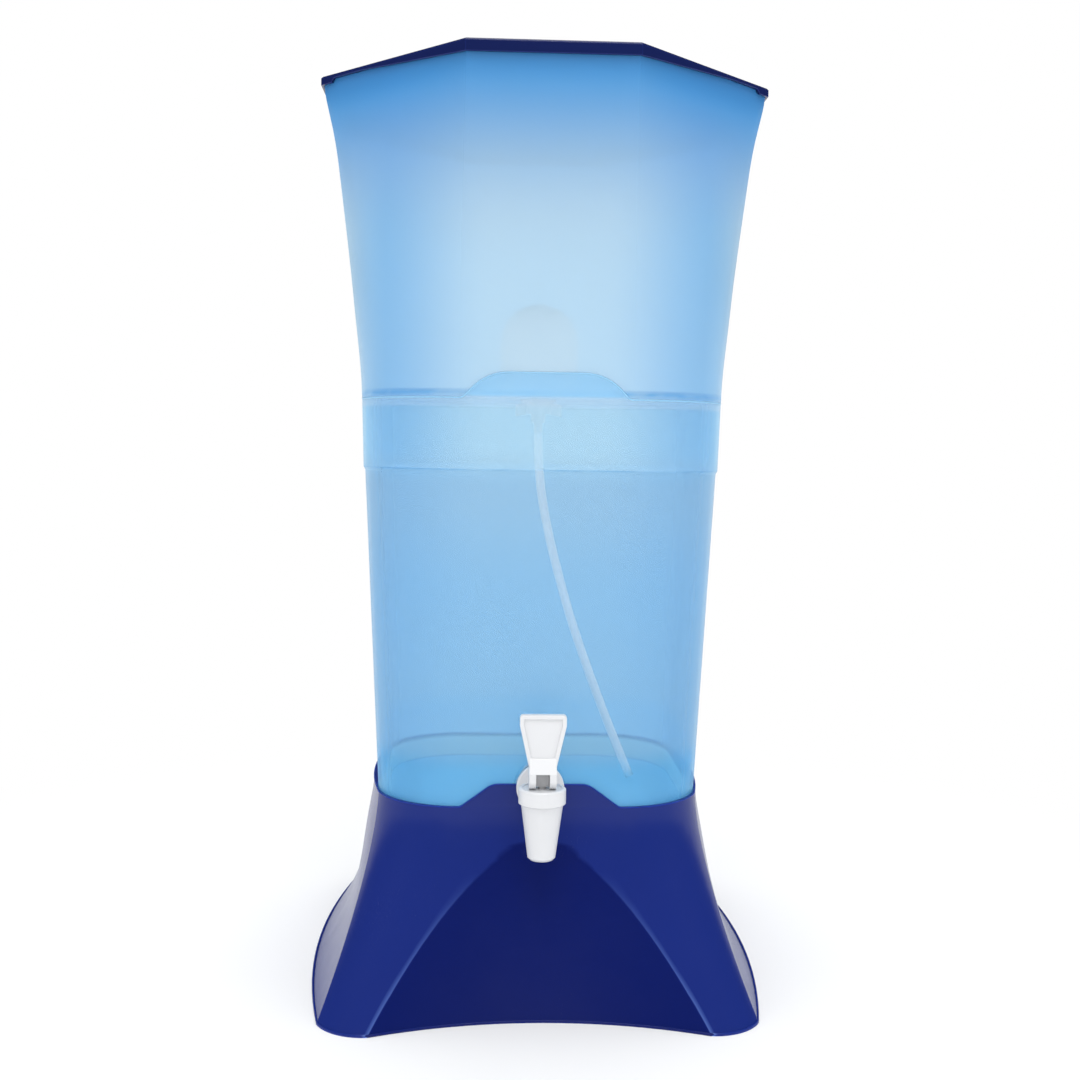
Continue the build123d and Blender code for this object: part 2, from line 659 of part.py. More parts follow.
HOSE_RADII = corner_radii(HOSE_ROUTE)
with BuildPart() as outlet_hose:
    with BuildLine() as hose_line:
        FilletPolyline(*HOSE_ROUTE, radius=HOSE_RADII)
    with BuildSketch(Plane.XY.offset(NIPPLE_END)):
        Circle(HOSE_R)
    sweep(path=hose_line.wires()[0])
outlet_hose.part.label = "outlet_hose"
HOSE_LENGTH = hose_line.wires()[0].length
print("hose radii", [round(radius) for radius in HOSE_RADII], "length", round(HOSE_LENGTH, 1))
print("hose volume", round(outlet_hose.part.volume), "of", round(math.pi * HOSE_R**2 * HOSE_LENGTH))

# ---------------------------------------------------------------- tap

TAP_PLANE = Plane.XZ.offset(-TAP_Y)
TAP_AXIS = Axis((0, TAP_Y, 0), (0, 0, 1))


def spout_plan(height, radius):
    """Disc round the spout's axis."""
    with BuildSketch(Plane.XY.offset(height)) as plan:
        with Locations((0, TAP_Y)):
            Circle(radius)
    return plan.sketch


def pin_plan(x, radius):
    """Disc round the lever pin's axis."""
    with BuildSketch(Plane.YZ.offset(x)) as plan:
        with Locations((TAP_Y, PIN_Z)):
            Circle(radius)
    return plan.sketch


with BuildPart() as tap_body:
    with BuildSketch(TAP_PLANE):
        with BuildLine():
            Polyline(
                (0, COLLAR_TOP),
                (COLLAR_R - COLLAR_EDGE, COLLAR_TOP),
                (COLLAR_R, COLLAR_TOP - COLLAR_EDGE),
                (COLLAR_R, COLLAR_LOW + COLLAR_EDGE),
                (CONE_TOP_R, COLLAR_LOW),
                (CONE_END_R, SPOUT_END + SPOUT_EDGE),
                (CONE_END_R - SPOUT_EDGE, SPOUT_END),
                (0, SPOUT_END),
                close=True,
            )
        make_face()
    revolve(axis=TAP_AXIS)
    extrude(shank_plan(FLANGE_BACK, FLANGE_R), amount=FLANGE_BACK - FLANGE_FRONT)
    flange_rims = tap_body.edges().filter_by(GeomType.CIRCLE).filter_by(
        lambda edge: math.isclose(edge.radius, FLANGE_R)
    )
    fillet(flange_rims.sort_by(Axis.Y)[0], radius=FLANGE_EDGE)
    extrude(shank_plan(FLANGE_FRONT, NECK_R), amount=FLANGE_FRONT - NECK_END)
    extrude(shank_plan(SHANK_END, SHANK_R), amount=SHANK_END - FLANGE_BACK)
    # thread ridges, as rings, from the free end to the container wall
    for ring in range(SHANK_RINGS):
        ring_y = SHANK_END - SHANK_RING_PITCH * (ring + 0.5)
        extrude(
            shank_plan(ring_y, SHANK_R, SHANK_R - SHANK_RING_DEPTH),
            amount=SHANK_RING_WIDTH,
            mode=Mode.SUBTRACT,
        )
    # chamber, seat, outlet and the recess for the bonnet
    with BuildSketch(TAP_PLANE):
        with BuildLine():
            Polyline(
                (0, COLLAR_TOP),
                (BONNET_R, COLLAR_TOP),
                (BONNET_R, BONNET_LOW),
                (CHAMBER_TOP_R, BONNET_LOW),
                (CHAMBER_TOP_R, COLLAR_LOW),
                (CHAMBER_LOW_R, SEAT),
                (SEAT_BORE, SEAT),
                (SEAT_BORE, SEAT - SEAT_DEPTH),
                (OUTLET_R, SEAT - SEAT_DEPTH - THROAT),
                (OUTLET_R, SPOUT_END),
                (0, SPOUT_END),
                close=True,
            )
        make_face()
    revolve(axis=TAP_AXIS, mode=Mode.SUBTRACT)
    extrude(shank_plan(SHANK_END, SHANK_BORE), amount=SHANK_END - TAP_Y, mode=Mode.SUBTRACT)
tap_body.part.label = "tap_body"

GUIDE_LOW = BONNET_LOW - GUIDE_DEPTH
with BuildPart() as tap_bonnet:
    extrude(spout_plan(BONNET_LOW, BONNET_R), amount=BONNET_TOP - BONNET_LOW)
    extrude(spout_plan(GUIDE_LOW, GUIDE_R), amount=GUIDE_DEPTH)
    extrude(
        spout_plan(GUIDE_LOW, TAP_STEM_R + RUNNING_GAP),
        amount=BONNET_TOP - GUIDE_LOW,
        mode=Mode.SUBTRACT,
    )
tap_bonnet.part.label = "tap_bonnet"

with BuildPart() as tap_stem:
    extrude(spout_plan(TAP_STEM_LOW, TAP_STEM_R), amount=HEAD_LOW - TAP_STEM_LOW)
    extrude(spout_plan(SEAL_TOP, DISC_R), amount=DISC)
    with BuildSketch(Plane.XY.offset(HEAD_LOW)):
        with Locations((0, TAP_Y)):
            Rectangle(2 * HEAD_HALF, HEAD_DEEP)
    extrude(amount=HEAD_TOP - HEAD_LOW)
    fillet(tap_stem.faces().sort_by(Axis.Z)[-1].edges().filter_by(Axis.X), radius=HEAD_EDGE)
    extrude(pin_plan(-LEVER_HALF, PIN_R), amount=2 * LEVER_HALF, mode=Mode.SUBTRACT)
tap_stem.part.label = "tap_stem"

with BuildPart() as valve_seal:
    with BuildSketch(TAP_PLANE):
        with BuildLine():
            Polyline(
                (0, SEAT - SEAL_DIP),
                (SEAL_NOSE, SEAT - SEAL_DIP),
                (SEAL_ROOT, SEAT + RUNNING_GAP),
                (SEAL_R, SEAT + RUNNING_GAP),
                (SEAL_R, SEAT + SEAL_LIP),
                (SEAL_SHOULDER, SEAL_TOP),
                (0, SEAL_TOP),
                close=True,
            )
        make_face()
    revolve(axis=TAP_AXIS)
    extrude(spout_plan(TAP_STEM_LOW, TAP_STEM_R), amount=SEAL_TOP - TAP_STEM_LOW, mode=Mode.SUBTRACT)
valve_seal.part.label = "valve_seal"

COIL_LOW = SEAL_TOP + DISC + SPRING_WIRE + RUNNING_GAP
COIL_HEIGHT = BONNET_LOW - SPRING_WIRE - RUNNING_GAP - COIL_LOW
with BuildPart() as stem_spring:
    with BuildLine() as coil:
        Helix(
            pitch=COIL_HEIGHT / SPRING_TURNS,
            height=COIL_HEIGHT,
            radius=SPRING_R,
            center=(0, TAP_Y, COIL_LOW),
        )
    with BuildSketch(Plane(origin=coil.line @ 0, z_dir=coil.line % 0)):
        Circle(SPRING_WIRE)
    sweep(path=coil.wires()[0], is_frenet=True)
stem_spring.part.label = "stem_spring"

with BuildPart() as lever_pin:
    extrude(pin_plan(-PIN_HALF, PIN_R), amount=2 * PIN_HALF)
    chamfer(lever_pin.edges().filter_by(GeomType.CIRCLE), length=PIN_EDGE)
lever_pin.part.label = "lever_pin"

with BuildPart() as tap_lever:
    # paddle, seen from the front
    with BuildSketch(Plane.XZ.offset(-(TAP_Y + PADDLE_BACK))):
        with BuildLine():
            Polyline(
                (-LEVER_HALF, CAM_FRONT_TOP),
                (-LEVER_HALF, PADDLE_NECK),
                (-PADDLE_HALF, PADDLE_SHOULDER),
                (-PADDLE_HALF, PADDLE_TOP),
                (PADDLE_HALF, PADDLE_TOP),
                (PADDLE_HALF, PADDLE_SHOULDER),
                (LEVER_HALF, PADDLE_NECK),
                (LEVER_HALF, CAM_FRONT_TOP),
                close=True,
            )
        make_face()
    extrude(amount=PADDLE_BACK - PADDLE_FRONT)
    fillet(tap_lever.edges().filter_by(Axis.Y).group_by(Axis.Z)[-1], radius=PADDLE_EDGE)
    # recessed face inside a raised border
    with BuildSketch(Plane.XZ.offset(-(TAP_Y + PADDLE_FRONT))):
        with BuildLine():
            Polyline(
                (-LEVER_HALF + PADDLE_BORDER, CAM_FRONT_TOP),
                (-LEVER_HALF + PADDLE_BORDER, PADDLE_NECK),
                (-PADDLE_HALF + PADDLE_BORDER, PADDLE_SHOULDER),
                (-PADDLE_HALF + PADDLE_BORDER, PADDLE_TOP - PADDLE_BORDER),
                (PADDLE_HALF - PADDLE_BORDER, PADDLE_TOP - PADDLE_BORDER),
                (PADDLE_HALF - PADDLE_BORDER, PADDLE_SHOULDER),
                (LEVER_HALF - PADDLE_BORDER, PADDLE_NECK),
                (LEVER_HALF - PADDLE_BORDER, CAM_FRONT_TOP),
                close=True,
            )
        make_face()
    extrude(amount=-PADDLE_RECESS, mode=Mode.SUBTRACT)
    # cam round the pin: low under it, longer towards the front
    with BuildSketch(Plane.YZ.offset(-LEVER_HALF)):
        with BuildLine():
            EllipticalCenterArc((TAP_Y, PIN_Z), CAM_FRONT, CAM_LOW, 180, arc_size=90)
            CenterArc((TAP_Y, PIN_Z), CAM_LOW, 270, 90)
            Polyline(
                (TAP_Y + CAM_LOW, PIN_Z),
                (TAP_Y + CAM_LOW, CAM_BACK_TOP),
                (TAP_Y + PADDLE_BACK, WEDGE_TOP),
                (TAP_Y + PADDLE_FRONT, WEDGE_TOP),
                (TAP_Y - CAM_FRONT, CAM_FRONT_TOP),
                (TAP_Y - CAM_FRONT, PIN_Z),
            )
        make_face()
    extrude(amount=2 * LEVER_HALF)
    # slot for the stem's head, and the pin hole
    with BuildSketch(Plane.XZ.offset(-TAP_Y)):
        with Locations((0, SLOT_TOP - SLOT_HEIGHT / 2)):
            Rectangle(2 * SLOT_HALF, SLOT_HEIGHT)
    extrude(amount=SLOT_HEIGHT, both=True, mode=Mode.SUBTRACT)
    extrude(
        pin_plan(0.0, PIN_R + RUNNING_GAP),
        amount=PADDLE_HALF,
        both=True,
        mode=Mode.SUBTRACT,
    )
tap_lever.part.label = "tap_lever"

SHANK_HOLE = SHANK_R + RUNNING_GAP
with BuildPart() as outer_gasket:
    extrude(shank_plan(BOSS_OUT, NOTCH_R - NOTCH_GAP, SHANK_HOLE), amount=BOSS_OUT - FLANGE_BACK)
outer_gasket.part.label = "outer_gasket"

with BuildPart() as inner_gasket:
    extrude(shank_plan(BOSS_IN + INNER_GASKET, INNER_GASKET_R, SHANK_HOLE), amount=INNER_GASKET)
inner_gasket.part.label = "inner_gasket"

with BuildPart() as tap_nut:
    with BuildSketch(Plane.XZ.offset(-BOSS_IN - INNER_GASKET - TAP_NUT_THICKNESS)):
        with Locations((0, SHANK_Z)):
            RegularPolygon(TAP_NUT_HALF, 6, major_radius=False)
            Circle(SHANK_HOLE, mode=Mode.SUBTRACT)
    extrude(amount=TAP_NUT_THICKNESS)
    chamfer(tap_nut.faces().sort_by(Axis.Y)[-1].outer_wire().edges(), length=TAP_NUT_EDGE)
tap_nut.part.label = "tap_nut"

# ---------------------------------------------------------------- export

PIECES = [
    stand, lower_container, upper_container, lid,
    candle_shell, carbon_core, carbon_pad, candle_base, candle_gasket, wing_nut, outlet_hose,
    tap_body, tap_bonnet, tap_stem, valve_seal, stem_spring, lever_pin, tap_lever,
    outer_gasket, inner_gasket, tap_nut,
]
for piece in PIECES:
    export_step(piece.part, f"parts/{piece.part.label}.step")
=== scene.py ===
"""Dresses a packed gravity water filter: its plastics, hose, beads and small parts, in a plain studio."""

import math

import bmesh
import bpy
from bpy.props import FloatProperty, FloatVectorProperty, PointerProperty
from mathutils import Matrix, Vector


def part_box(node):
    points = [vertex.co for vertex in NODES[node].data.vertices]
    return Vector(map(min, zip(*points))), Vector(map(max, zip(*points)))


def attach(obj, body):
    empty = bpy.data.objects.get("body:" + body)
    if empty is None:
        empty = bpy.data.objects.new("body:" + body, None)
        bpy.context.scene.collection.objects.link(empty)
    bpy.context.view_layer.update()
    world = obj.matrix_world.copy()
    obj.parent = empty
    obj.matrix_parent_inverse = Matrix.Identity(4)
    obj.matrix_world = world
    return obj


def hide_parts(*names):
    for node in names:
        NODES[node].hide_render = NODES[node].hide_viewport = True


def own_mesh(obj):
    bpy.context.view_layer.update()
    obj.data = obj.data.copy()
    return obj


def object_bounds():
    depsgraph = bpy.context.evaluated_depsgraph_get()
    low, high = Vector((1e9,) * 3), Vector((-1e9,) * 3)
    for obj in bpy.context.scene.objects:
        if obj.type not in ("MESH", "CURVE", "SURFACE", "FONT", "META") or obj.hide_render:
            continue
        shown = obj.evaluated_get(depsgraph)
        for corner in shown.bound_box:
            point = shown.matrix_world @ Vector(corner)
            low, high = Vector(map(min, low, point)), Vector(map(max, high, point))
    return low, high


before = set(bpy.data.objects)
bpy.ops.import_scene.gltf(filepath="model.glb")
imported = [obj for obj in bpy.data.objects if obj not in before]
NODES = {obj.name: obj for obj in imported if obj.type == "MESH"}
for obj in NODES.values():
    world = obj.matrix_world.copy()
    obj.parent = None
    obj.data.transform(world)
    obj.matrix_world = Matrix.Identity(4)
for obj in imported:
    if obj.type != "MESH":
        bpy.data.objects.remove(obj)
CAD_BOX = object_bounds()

bl_info = {
    "name": "Gravity Water Filter",
    "version": (1, 0, 0),
    "blender": (4, 5, 0),
    "location": "View3D > Sidebar > Water Filter",
    "description": "Plastics, hose, beads and a plain studio for a gravity water filter",
    "category": "Object",
}

# what tells an edge that carries a bead, by the two faces that meet there
WELD = 1e-6  # metres within which two points of a mesh are one
BEAD_TURN = 0.8  # least angle between the two, in radians
WALL_OUTWARD = 0.5  # least outward part of the wall's normal
RIM_OUTWARD = 0.4  # most outward part of the other face's normal
FACING_UP = 0.3  # least upward part of that normal on a rim
FACING_DOWN = -0.5  # most upward part of it under a foot
# the beads' radii and the places that bound them, in metres
FOOT_BEAD = 0.0008
RIM_BEAD = 0.0004
FOOT_HEIGHT = 0.001
STAND_RIM = 0.1145
NOTCH = 0.0105  # half the width that the bead leaves free for the notch in the stand's rim
CONTAINER_RIM = 0.352
# a mould line around the lower container at its step, and a painted shadow around the upper one just
# above the collar, where it sits in the collar
STEP_LINE = {"Height": 0.3113, "Half Width": 0.0005, "Breaks": 1.0}
REST_SHADOW_LINE = {"Height": 0.3552, "Half Width": 0.0026, "Breaks": 0.5}
LINE_TINT = (0.35, 0.68, 0.92)
# the arched hollow in the stand's front: height, depth of its middle and sagitta over its chord
HOLLOW_LOW = (-0.002, 0.1281, 0.0204)
HOLLOW_HIGH = (0.103, 0.1018, 0.0056)
HOLLOW_RISE = HOLLOW_HIGH[0] - HOLLOW_LOW[0]
HALF_CHORD = 0.1
# painted shade in the arched hollow: what is left of the navy there
HOLLOW_SHADE_TINT = (0.3, 0.42, 0.63)
# the painted highlight along the hollow's edge: where it starts, is full and has faded, behind that edge
RIDGE_START, RIDGE_END, RIDGE_FADE = 0.0001, 0.0003, 0.0011
RIDGE_HIGHLIGHT_TINT = (0.07, 0.13, 0.42, 1)
RIDGE_SHARE = 0.9  # how much of its tint shows at the foot
RIDGE_TOP = 0.08  # the height at which it is gone
CROWN, CROWN_CURVE = 0.0962, 8.3  # the arch's top, and how fast it falls off to the sides
CROWN_BLUR = 0.001  # half the height over which the hollow fades out there
# the containers' walls
UPPER_HAZE = 0.46  # how much one face hides in the upper container and the collar's raised part
WALL_ROUGHNESS = 0.36  # at 0.30, small dark specks showed on the upper container
EDGE_ON_POWER = 2.5  # how late a wall that turns away starts to hide more
EDGE_ON_GAIN = 0.6  # how much of what is left clear it then hides

# ---------------------------------------------------------------- settings


def colour_property(name, description, default):
    """A colour that the user can change."""
    return FloatVectorProperty(
        name=name, description=description, default=default, subtype="COLOR", size=3, min=0, max=1
    )


def share_property(name, description, default, least):
    """A share of 1 that the user can change."""
    return FloatProperty(
        name=name, description=description, default=default, min=least, max=1.0, subtype="FACTOR"
    )


def length_property(name, description, default, least):
    """A length that the user can change."""
    return FloatProperty(
        name=name, description=description, default=default, min=least, unit="LENGTH"
    )


def power_property(name, description, default):
    """A lamp's power that the user can change."""
    return FloatProperty(
        name=name, description=description, default=default, min=0, unit="POWER"
    )


class FinishSettings(bpy.types.PropertyGroup):
    navy: colour_property("Navy", "Glossy plastic of the stand", (0.0085, 0.0225, 0.185))
    lid: colour_property("Lid", "Glossy plastic of the lid", (0.006, 0.013, 0.085))
    floor: colour_property("Floor", "Lower container's floor", (0.2, 0.56, 0.85))
    # painted light: lightens the lower container's wall behind the stand, which lies in the stand's shade
    back: colour_property("Back", "Lower container's wall behind the stand", (0.46, 0.86, 1.0))
    foot: colour_property("Foot", "Lower container just above the stand", (0.143, 0.5, 0.82))
    low: colour_property("Low", "Lower container above the stand", (0.3, 0.55, 0.77))
    middle: colour_property("Middle", "Lower container halfway up", (0.3, 0.56, 0.795))
    step: colour_property("Step", "Lower container under its step", (0.37, 0.595, 0.78))
    collar: colour_property("Collar", "Collar of the lower container", (0.52, 0.81, 0.965))
    hump: colour_property("Hump", "Raised part of the collar's rim", (0.34, 0.66, 0.92))
    upper: colour_property("Upper", "Upper container up to its shoulders", (0.575, 0.785, 0.93))
    # painted shadow of the lid: the upper container deepens near its mouth and right under the lid
    mouth: colour_property("Mouth", "Upper container near its mouth", (0.05, 0.34, 0.75))
    brim_shadow: colour_property("Brim", "Upper container right under the lid", (0.05, 0.26, 0.62))
    bead: colour_property("Bead", "Rounded rim of the lower container", (0.3, 0.58, 0.8))
    white: colour_property("White", "Satin plastic of the tap", (0.75, 0.76, 0.78))
    grey: colour_property("Grey", "Plastic of the tap's stem", (0.5, 0.5, 0.51))
    wall_haze: share_property(
        "Wall haze", "How much one face of a container's wall hides", 0.3, 0.1
    )
    collar_haze: share_property("Collar haze", "How much one face of the collar hides", 0.24, 0.1)
    floor_haze: share_property(
        "Floor haze",
        "How much one face hides at the lower container's floor and under the lid",
        0.7,
        0.1,
    )
    wall_shade: share_property(
        "Wall shade",
        "Share of that haze that also holds back the light on what is inside",
        0.1,
        0.0,
    )


class HoseSettings(bpy.types.PropertyGroup):
    radius: length_property("Radius", "Outside radius of the hose", 0.0029, 0.001)
    wall: length_property("Wall", "Wall thickness of the hose", 0.0008, 0.0002)
    length: length_property(
        "Length", "Length of the hose from the candle's nipple to its free end", 0.2412, 0.05
    )


class StudioSettings(bpy.types.PropertyGroup):
    floor_size: length_property("Floor size", "Side of the square floor", 12.0, 2)
    floor_clear: length_property(
        "Floor clear", "Distance at which the floor has turned into plain white", 0.6, 0.3
    )
    world_light: FloatProperty(
        name="World light", description="Strength of the light from all around", default=0.85, min=0
    )
    key_power: power_property("Key power", "Large softbox in front", 14.0)
    strip_power: power_property("Strip power", "Tall softbox on each side", 1.2)
    top_power: power_property("Top power", "Softbox overhead", 5.0)
    lens: FloatProperty(
        name="Lens", description="Focal length", default=44.71, min=10, unit="CAMERA"
    )


def settings():
    """The settings of this scene, by group."""
    scene = bpy.context.scene
    return scene.filter_finish, scene.filter_hose, scene.filter_studio


# ---------------------------------------------------------------- node helpers


def put(tree, kind, inputs=None, **properties):
    """Adds a node. Each input is given by name as a socket to link or a plain value."""
    node = tree.nodes.new("ShaderNode" + kind)
    for name, value in properties.items():
        setattr(node, name, value)
    for name, value in (inputs or {}).items():
        feed(tree, node.inputs[name], value)
    return node


def feed(tree, socket, value):
    """Links a socket into another, or sets its plain value."""
    if isinstance(value, bpy.types.NodeSocket):
        tree.links.new(value, socket)
    else:
        socket.default_value = value


def maths(tree, operation, *values, clamp=False):
    """A Math node on up to three values."""
    node = tree.nodes.new("ShaderNodeMath")
    node.operation = operation
    node.use_clamp = clamp
    for socket, value in zip(node.inputs, values):
        feed(tree, socket, value)
    return node.outputs[0]


def vary(tree, mask, base, gain, clamp=False):
    """A value that is its base where a mask is 0, and its base and gain where it is 1."""
    return maths(tree, "MULTIPLY_ADD", mask, gain, base, clamp=clamp)


def ramp(tree, value, start, end, first=0.0, last=1.0, smooth=False):
    """Runs from first to last as a value goes from start to end, and stays there outside them."""
    ends = {"From Min": start, "From Max": end, "To Min": first, "To Max": last}
    kind = "SMOOTHSTEP" if smooth else "LINEAR"
    return put(tree, "MapRange", {"Value": value, **ends}, interpolation_type=kind).outputs[0]


def noise(tree, place, scale, detail, **others):
    """Noise from 0 to 1 at a place. Other inputs are given by name."""
    inputs = {"Vector": place, "Scale": scale, "Detail": detail, **others}
    return put(tree, "TexNoise", inputs).outputs["Fac"]


def object_place(tree):
    """The point in the object's own space."""
    return put(tree, "TexCoord").outputs["Object"]


def object_axes(tree):
    """X, Y and Z of the point in the object's own space."""
    return put(tree, "SeparateXYZ", {"Vector": object_place(tree)}).outputs


def blend_colours(tree, share, first, second):
    """The first colour where share is 0 and the second where it is 1."""
    node = put(tree, "Mix", data_type="RGBA")
    feed(tree, node.inputs["Factor"], share)
    feed(tree, node.inputs[6], first)
    feed(tree, node.inputs[7], second)
    return node.outputs[2]


def blend_values(tree, share, first, second):
    """The first value where share is 0 and the second where it is 1."""
    node = put(tree, "Mix", data_type="FLOAT")
    feed(tree, node.inputs["Factor"], share)
    feed(tree, node.inputs[2], first)
    feed(tree, node.inputs[3], second)
    return node.outputs[0]


def multiply_colours(tree, first, second):
    """Two colours multiplied, channel by channel."""
    return put(tree, "VectorMath", {0: first, 1: second}, operation="MULTIPLY").outputs[0]


def scale_colour(tree, colour, gain):
    """A colour made lighter or darker by a gain."""
    return put(tree, "VectorMath", {0: colour, "Scale": gain}, operation="SCALE").outputs[0]


def new_group(name, inputs, outputs):
    """An empty shader group with named inputs (kind, default) and outputs (kind)."""
    tree = bpy.data.node_groups.new(name, "ShaderNodeTree")
    for label, (kind, default) in inputs.items():
        socket = tree.interface.new_socket(label, in_out="INPUT", socket_type="NodeSocket" + kind)
        socket.default_value = default
    for label, kind in outputs.items():
        tree.interface.new_socket(label, in_out="OUTPUT", socket_type="NodeSocket" + kind)
    return tree, tree.nodes.new("NodeGroupInput").outputs, tree.nodes.new("NodeGroupOutput").inputs


def use_group(tree, name, inputs):
    """Places a shared group in a material and returns its outputs."""
    node = tree.nodes.new("ShaderNodeGroup")
    node.node_tree = bpy.data.node_groups[name]
    for label, value in inputs.items():
        feed(tree, node.inputs[label], value)
    return node.outputs


def rgba(colour):
    """A colour of three channels as one of four."""
    return (*colour, 1.0)


# ---------------------------------------------------------------- shared effects

GREY = (0.5, 0.5, 0.5, 1)  # a group's colour until it is given one
NOISE_MIDDLE = 0.5  # the value that noise runs around
CORNER_SHADE_TINT = (0.4, 0.68, 0.92)  # painted shade: what is left of the containers' colours at their upright corners
FACE_MIDDLE = 0.03  # half the width in the middle of a face that keeps its full colour
SCRATCH_WAYS = ((0.35, 0.03), (-0.8, 0.05))  # radians that lines are turned by, and their stretch
SCRATCH_TILT = 0.2  # radians
SCRATCH_SHARPNESS = 60.0  # how fast a line fades beside its middle
# the noise at which scratches and the dashes of a broken line start to show, and show in full
SCRATCH_PATCHES = (0.45, 0.75)
DASHES = (0.42, 0.56)


def make_moulded_skin():
    """Fine grain and slow colour drift of moulded plastic."""
    tree, given, out = new_group(
        "moulded skin",
        {
            "Colour": ("Color", GREY),
            "Roughness": ("Float", 0.4),
            "Grain": ("Float", 900.0),
            "Drift": ("Float", 0.06),
            "Drift Scale": ("Float", 9.0),
            "Rough Spread": ("Float", 0.08),
        },
        {"Colour": "Color", "Roughness": "Float", "Height": "Float"},
    )
    place = object_place(tree)
    grain = noise(tree, place, given["Grain"], detail=2.0)
    drift = noise(tree, place, given["Drift Scale"], detail=3.0)
    smear = noise(tree, place, scale=34.0, detail=4.0, Roughness=0.6)
    off_middle = maths(tree, "SUBTRACT", drift, NOISE_MIDDLE)
    gain = vary(tree, off_middle, base=1.0, gain=given["Drift"])
    feed(tree, out["Colour"], scale_colour(tree, given["Colour"], gain))
    uneven = maths(tree, "SUBTRACT", smear, NOISE_MIDDLE)
    rough = vary(tree, uneven, given["Roughness"], given["Rough Spread"], clamp=True)
    feed(tree, out["Roughness"], rough)
    feed(tree, out["Height"], grain)


def make_soft_edges():
    """Normals rounded over sharp edges, and a mask of those edges."""
    tree, given, out = new_group(
        "soft edges",
        {"Radius": ("Float", 0.0008), "Reach": ("Float", 3.0)},
        {"Normal": "Vector", "Mask": "Float"},
    )
    rounded = put(tree, "Bevel", {"Radius": given["Radius"]}, samples=6).outputs[0]
    sharp = put(tree, "NewGeometry").outputs["Normal"]
    along = put(tree, "VectorMath", {0: rounded, 1: sharp}, operation="DOT_PRODUCT")
    turned = maths(tree, "SUBTRACT", 1.0, along.outputs["Value"])
    feed(tree, out["Mask"], maths(tree, "MULTIPLY", turned, given["Reach"], clamp=True))
    feed(tree, out["Normal"], rounded)


def make_hairlines():
    """Fine scratches from wiping and handling, as a mask of thin lines in two directions."""
    tree, given, out = new_group(
        "hairlines",
        {"Density": ("Float", 0.5), "Fineness": ("Float", 420.0)},
        {"Mask": "Float"},
    )
    place = object_place(tree)
    total = 0.0
    for turn, stretch in SCRATCH_WAYS:
        laid = {"Rotation": (SCRATCH_TILT, turn, turn), "Scale": (1.0, 1.0, stretch)}
        along = put(tree, "Mapping", {"Vector": place, **laid}).outputs[0]
        lines = noise(tree, along, given["Fineness"], detail=1.0)
        off = maths(tree, "ABSOLUTE", maths(tree, "SUBTRACT", lines, NOISE_MIDDLE))
        faded = maths(tree, "MULTIPLY", off, SCRATCH_SHARPNESS)
        total = maths(tree, "ADD", total, maths(tree, "SUBTRACT", 1.0, faded, clamp=True))
    patch = ramp(tree, noise(tree, place, scale=14.0, detail=2.0), *SCRATCH_PATCHES)
    shown = maths(tree, "MULTIPLY", total, patch)
    feed(tree, out["Mask"], maths(tree, "MULTIPLY", shown, given["Density"], clamp=True))


def make_height_tint():
    """Passes a colour below one height and turns it into a tint by another height."""
    tree, given, out = new_group(
        "height tint",
        {
            "Colour": ("Color", GREY),
            "Tint": ("Color", GREY),
            "Start": ("Float", 0.0),
            "End": ("Float", 1.0),
        },
        {"Colour": "Color", "Share": "Float"},
    )
    share = ramp(tree, object_axes(tree)["Z"], given["Start"], given["End"], smooth=True)
    feed(tree, out["Share"], share)
    feed(tree, out["Colour"], blend_colours(tree, share, given["Colour"], given["Tint"]))


def make_face_glow():
    """Paints shade into a colour from the middle of each upright face towards the corners beside it, so
    that the middle of each face looks lit from inside.
    """
    tree, given, out = new_group(
        "face glow",
        {"Colour": ("Color", GREY), "Depth": ("Float", 0.5), "Reach": ("Float", 0.1)},
        {"Colour": "Color"},
    )
    axes = object_axes(tree)
    across = [maths(tree, "ABSOLUTE", axes[axis]) for axis in ("X", "Y")]
    from_middle = maths(tree, "MINIMUM", *across)
    share = ramp(tree, from_middle, FACE_MIDDLE, given["Reach"], smooth=True)
    shaded_colour = multiply_colours(tree, given["Colour"], CORNER_SHADE_TINT)
    shown = maths(tree, "MULTIPLY", share, given["Depth"])
    feed(tree, out["Colour"], blend_colours(tree, shown, given["Colour"], shaded_colour))


def make_witness_and_shadow_line():
    """Line around at one height, whole or broken, as a mask, used for a mould line and for a band of
    painted shadow.
    """
    tree, given, out = new_group(
        "witness and shadow line",
        {"Height": ("Float", 0.3), "Half Width": ("Float", 0.0004), "Breaks": ("Float", 1.0)},
        {"Mask": "Float"},
    )
    off = maths(tree, "SUBTRACT", object_axes(tree)["Z"], given["Height"])
    far = maths(tree, "DIVIDE", maths(tree, "ABSOLUTE", off), given["Half Width"])
    line = maths(tree, "SUBTRACT", 1.0, far, clamp=True)
    dash = ramp(tree, noise(tree, object_place(tree), scale=70.0, detail=1.0), *DASHES)
    shown = blend_values(tree, given["Breaks"], 1.0, dash)
    feed(tree, out["Mask"], maths(tree, "MULTIPLY", line, shown))


def make_shared_effects():
    """Builds each shader group once, before the materials that use it."""
    for make in (
        make_moulded_skin,
        make_soft_edges,
        make_hairlines,
        make_height_tint,
        make_face_glow,
        make_witness_and_shadow_line,
    ):
        make()


# ---------------------------------------------------------------- materials

PLASTIC_IOR = 1.49
RUBBER_IOR = 1.43
SCRATCH_ROUGHNESS = 0.25  # roughness that a scratch adds
SCRATCH_DEPTH = -0.6  # height that a scratch adds to the skin
PORE_EDGES = (0.05, 0.35)  # from a pore's middle, in cells, where it is deep and where it ends
PORE = (0.6, 0.58, 0.53, 1)
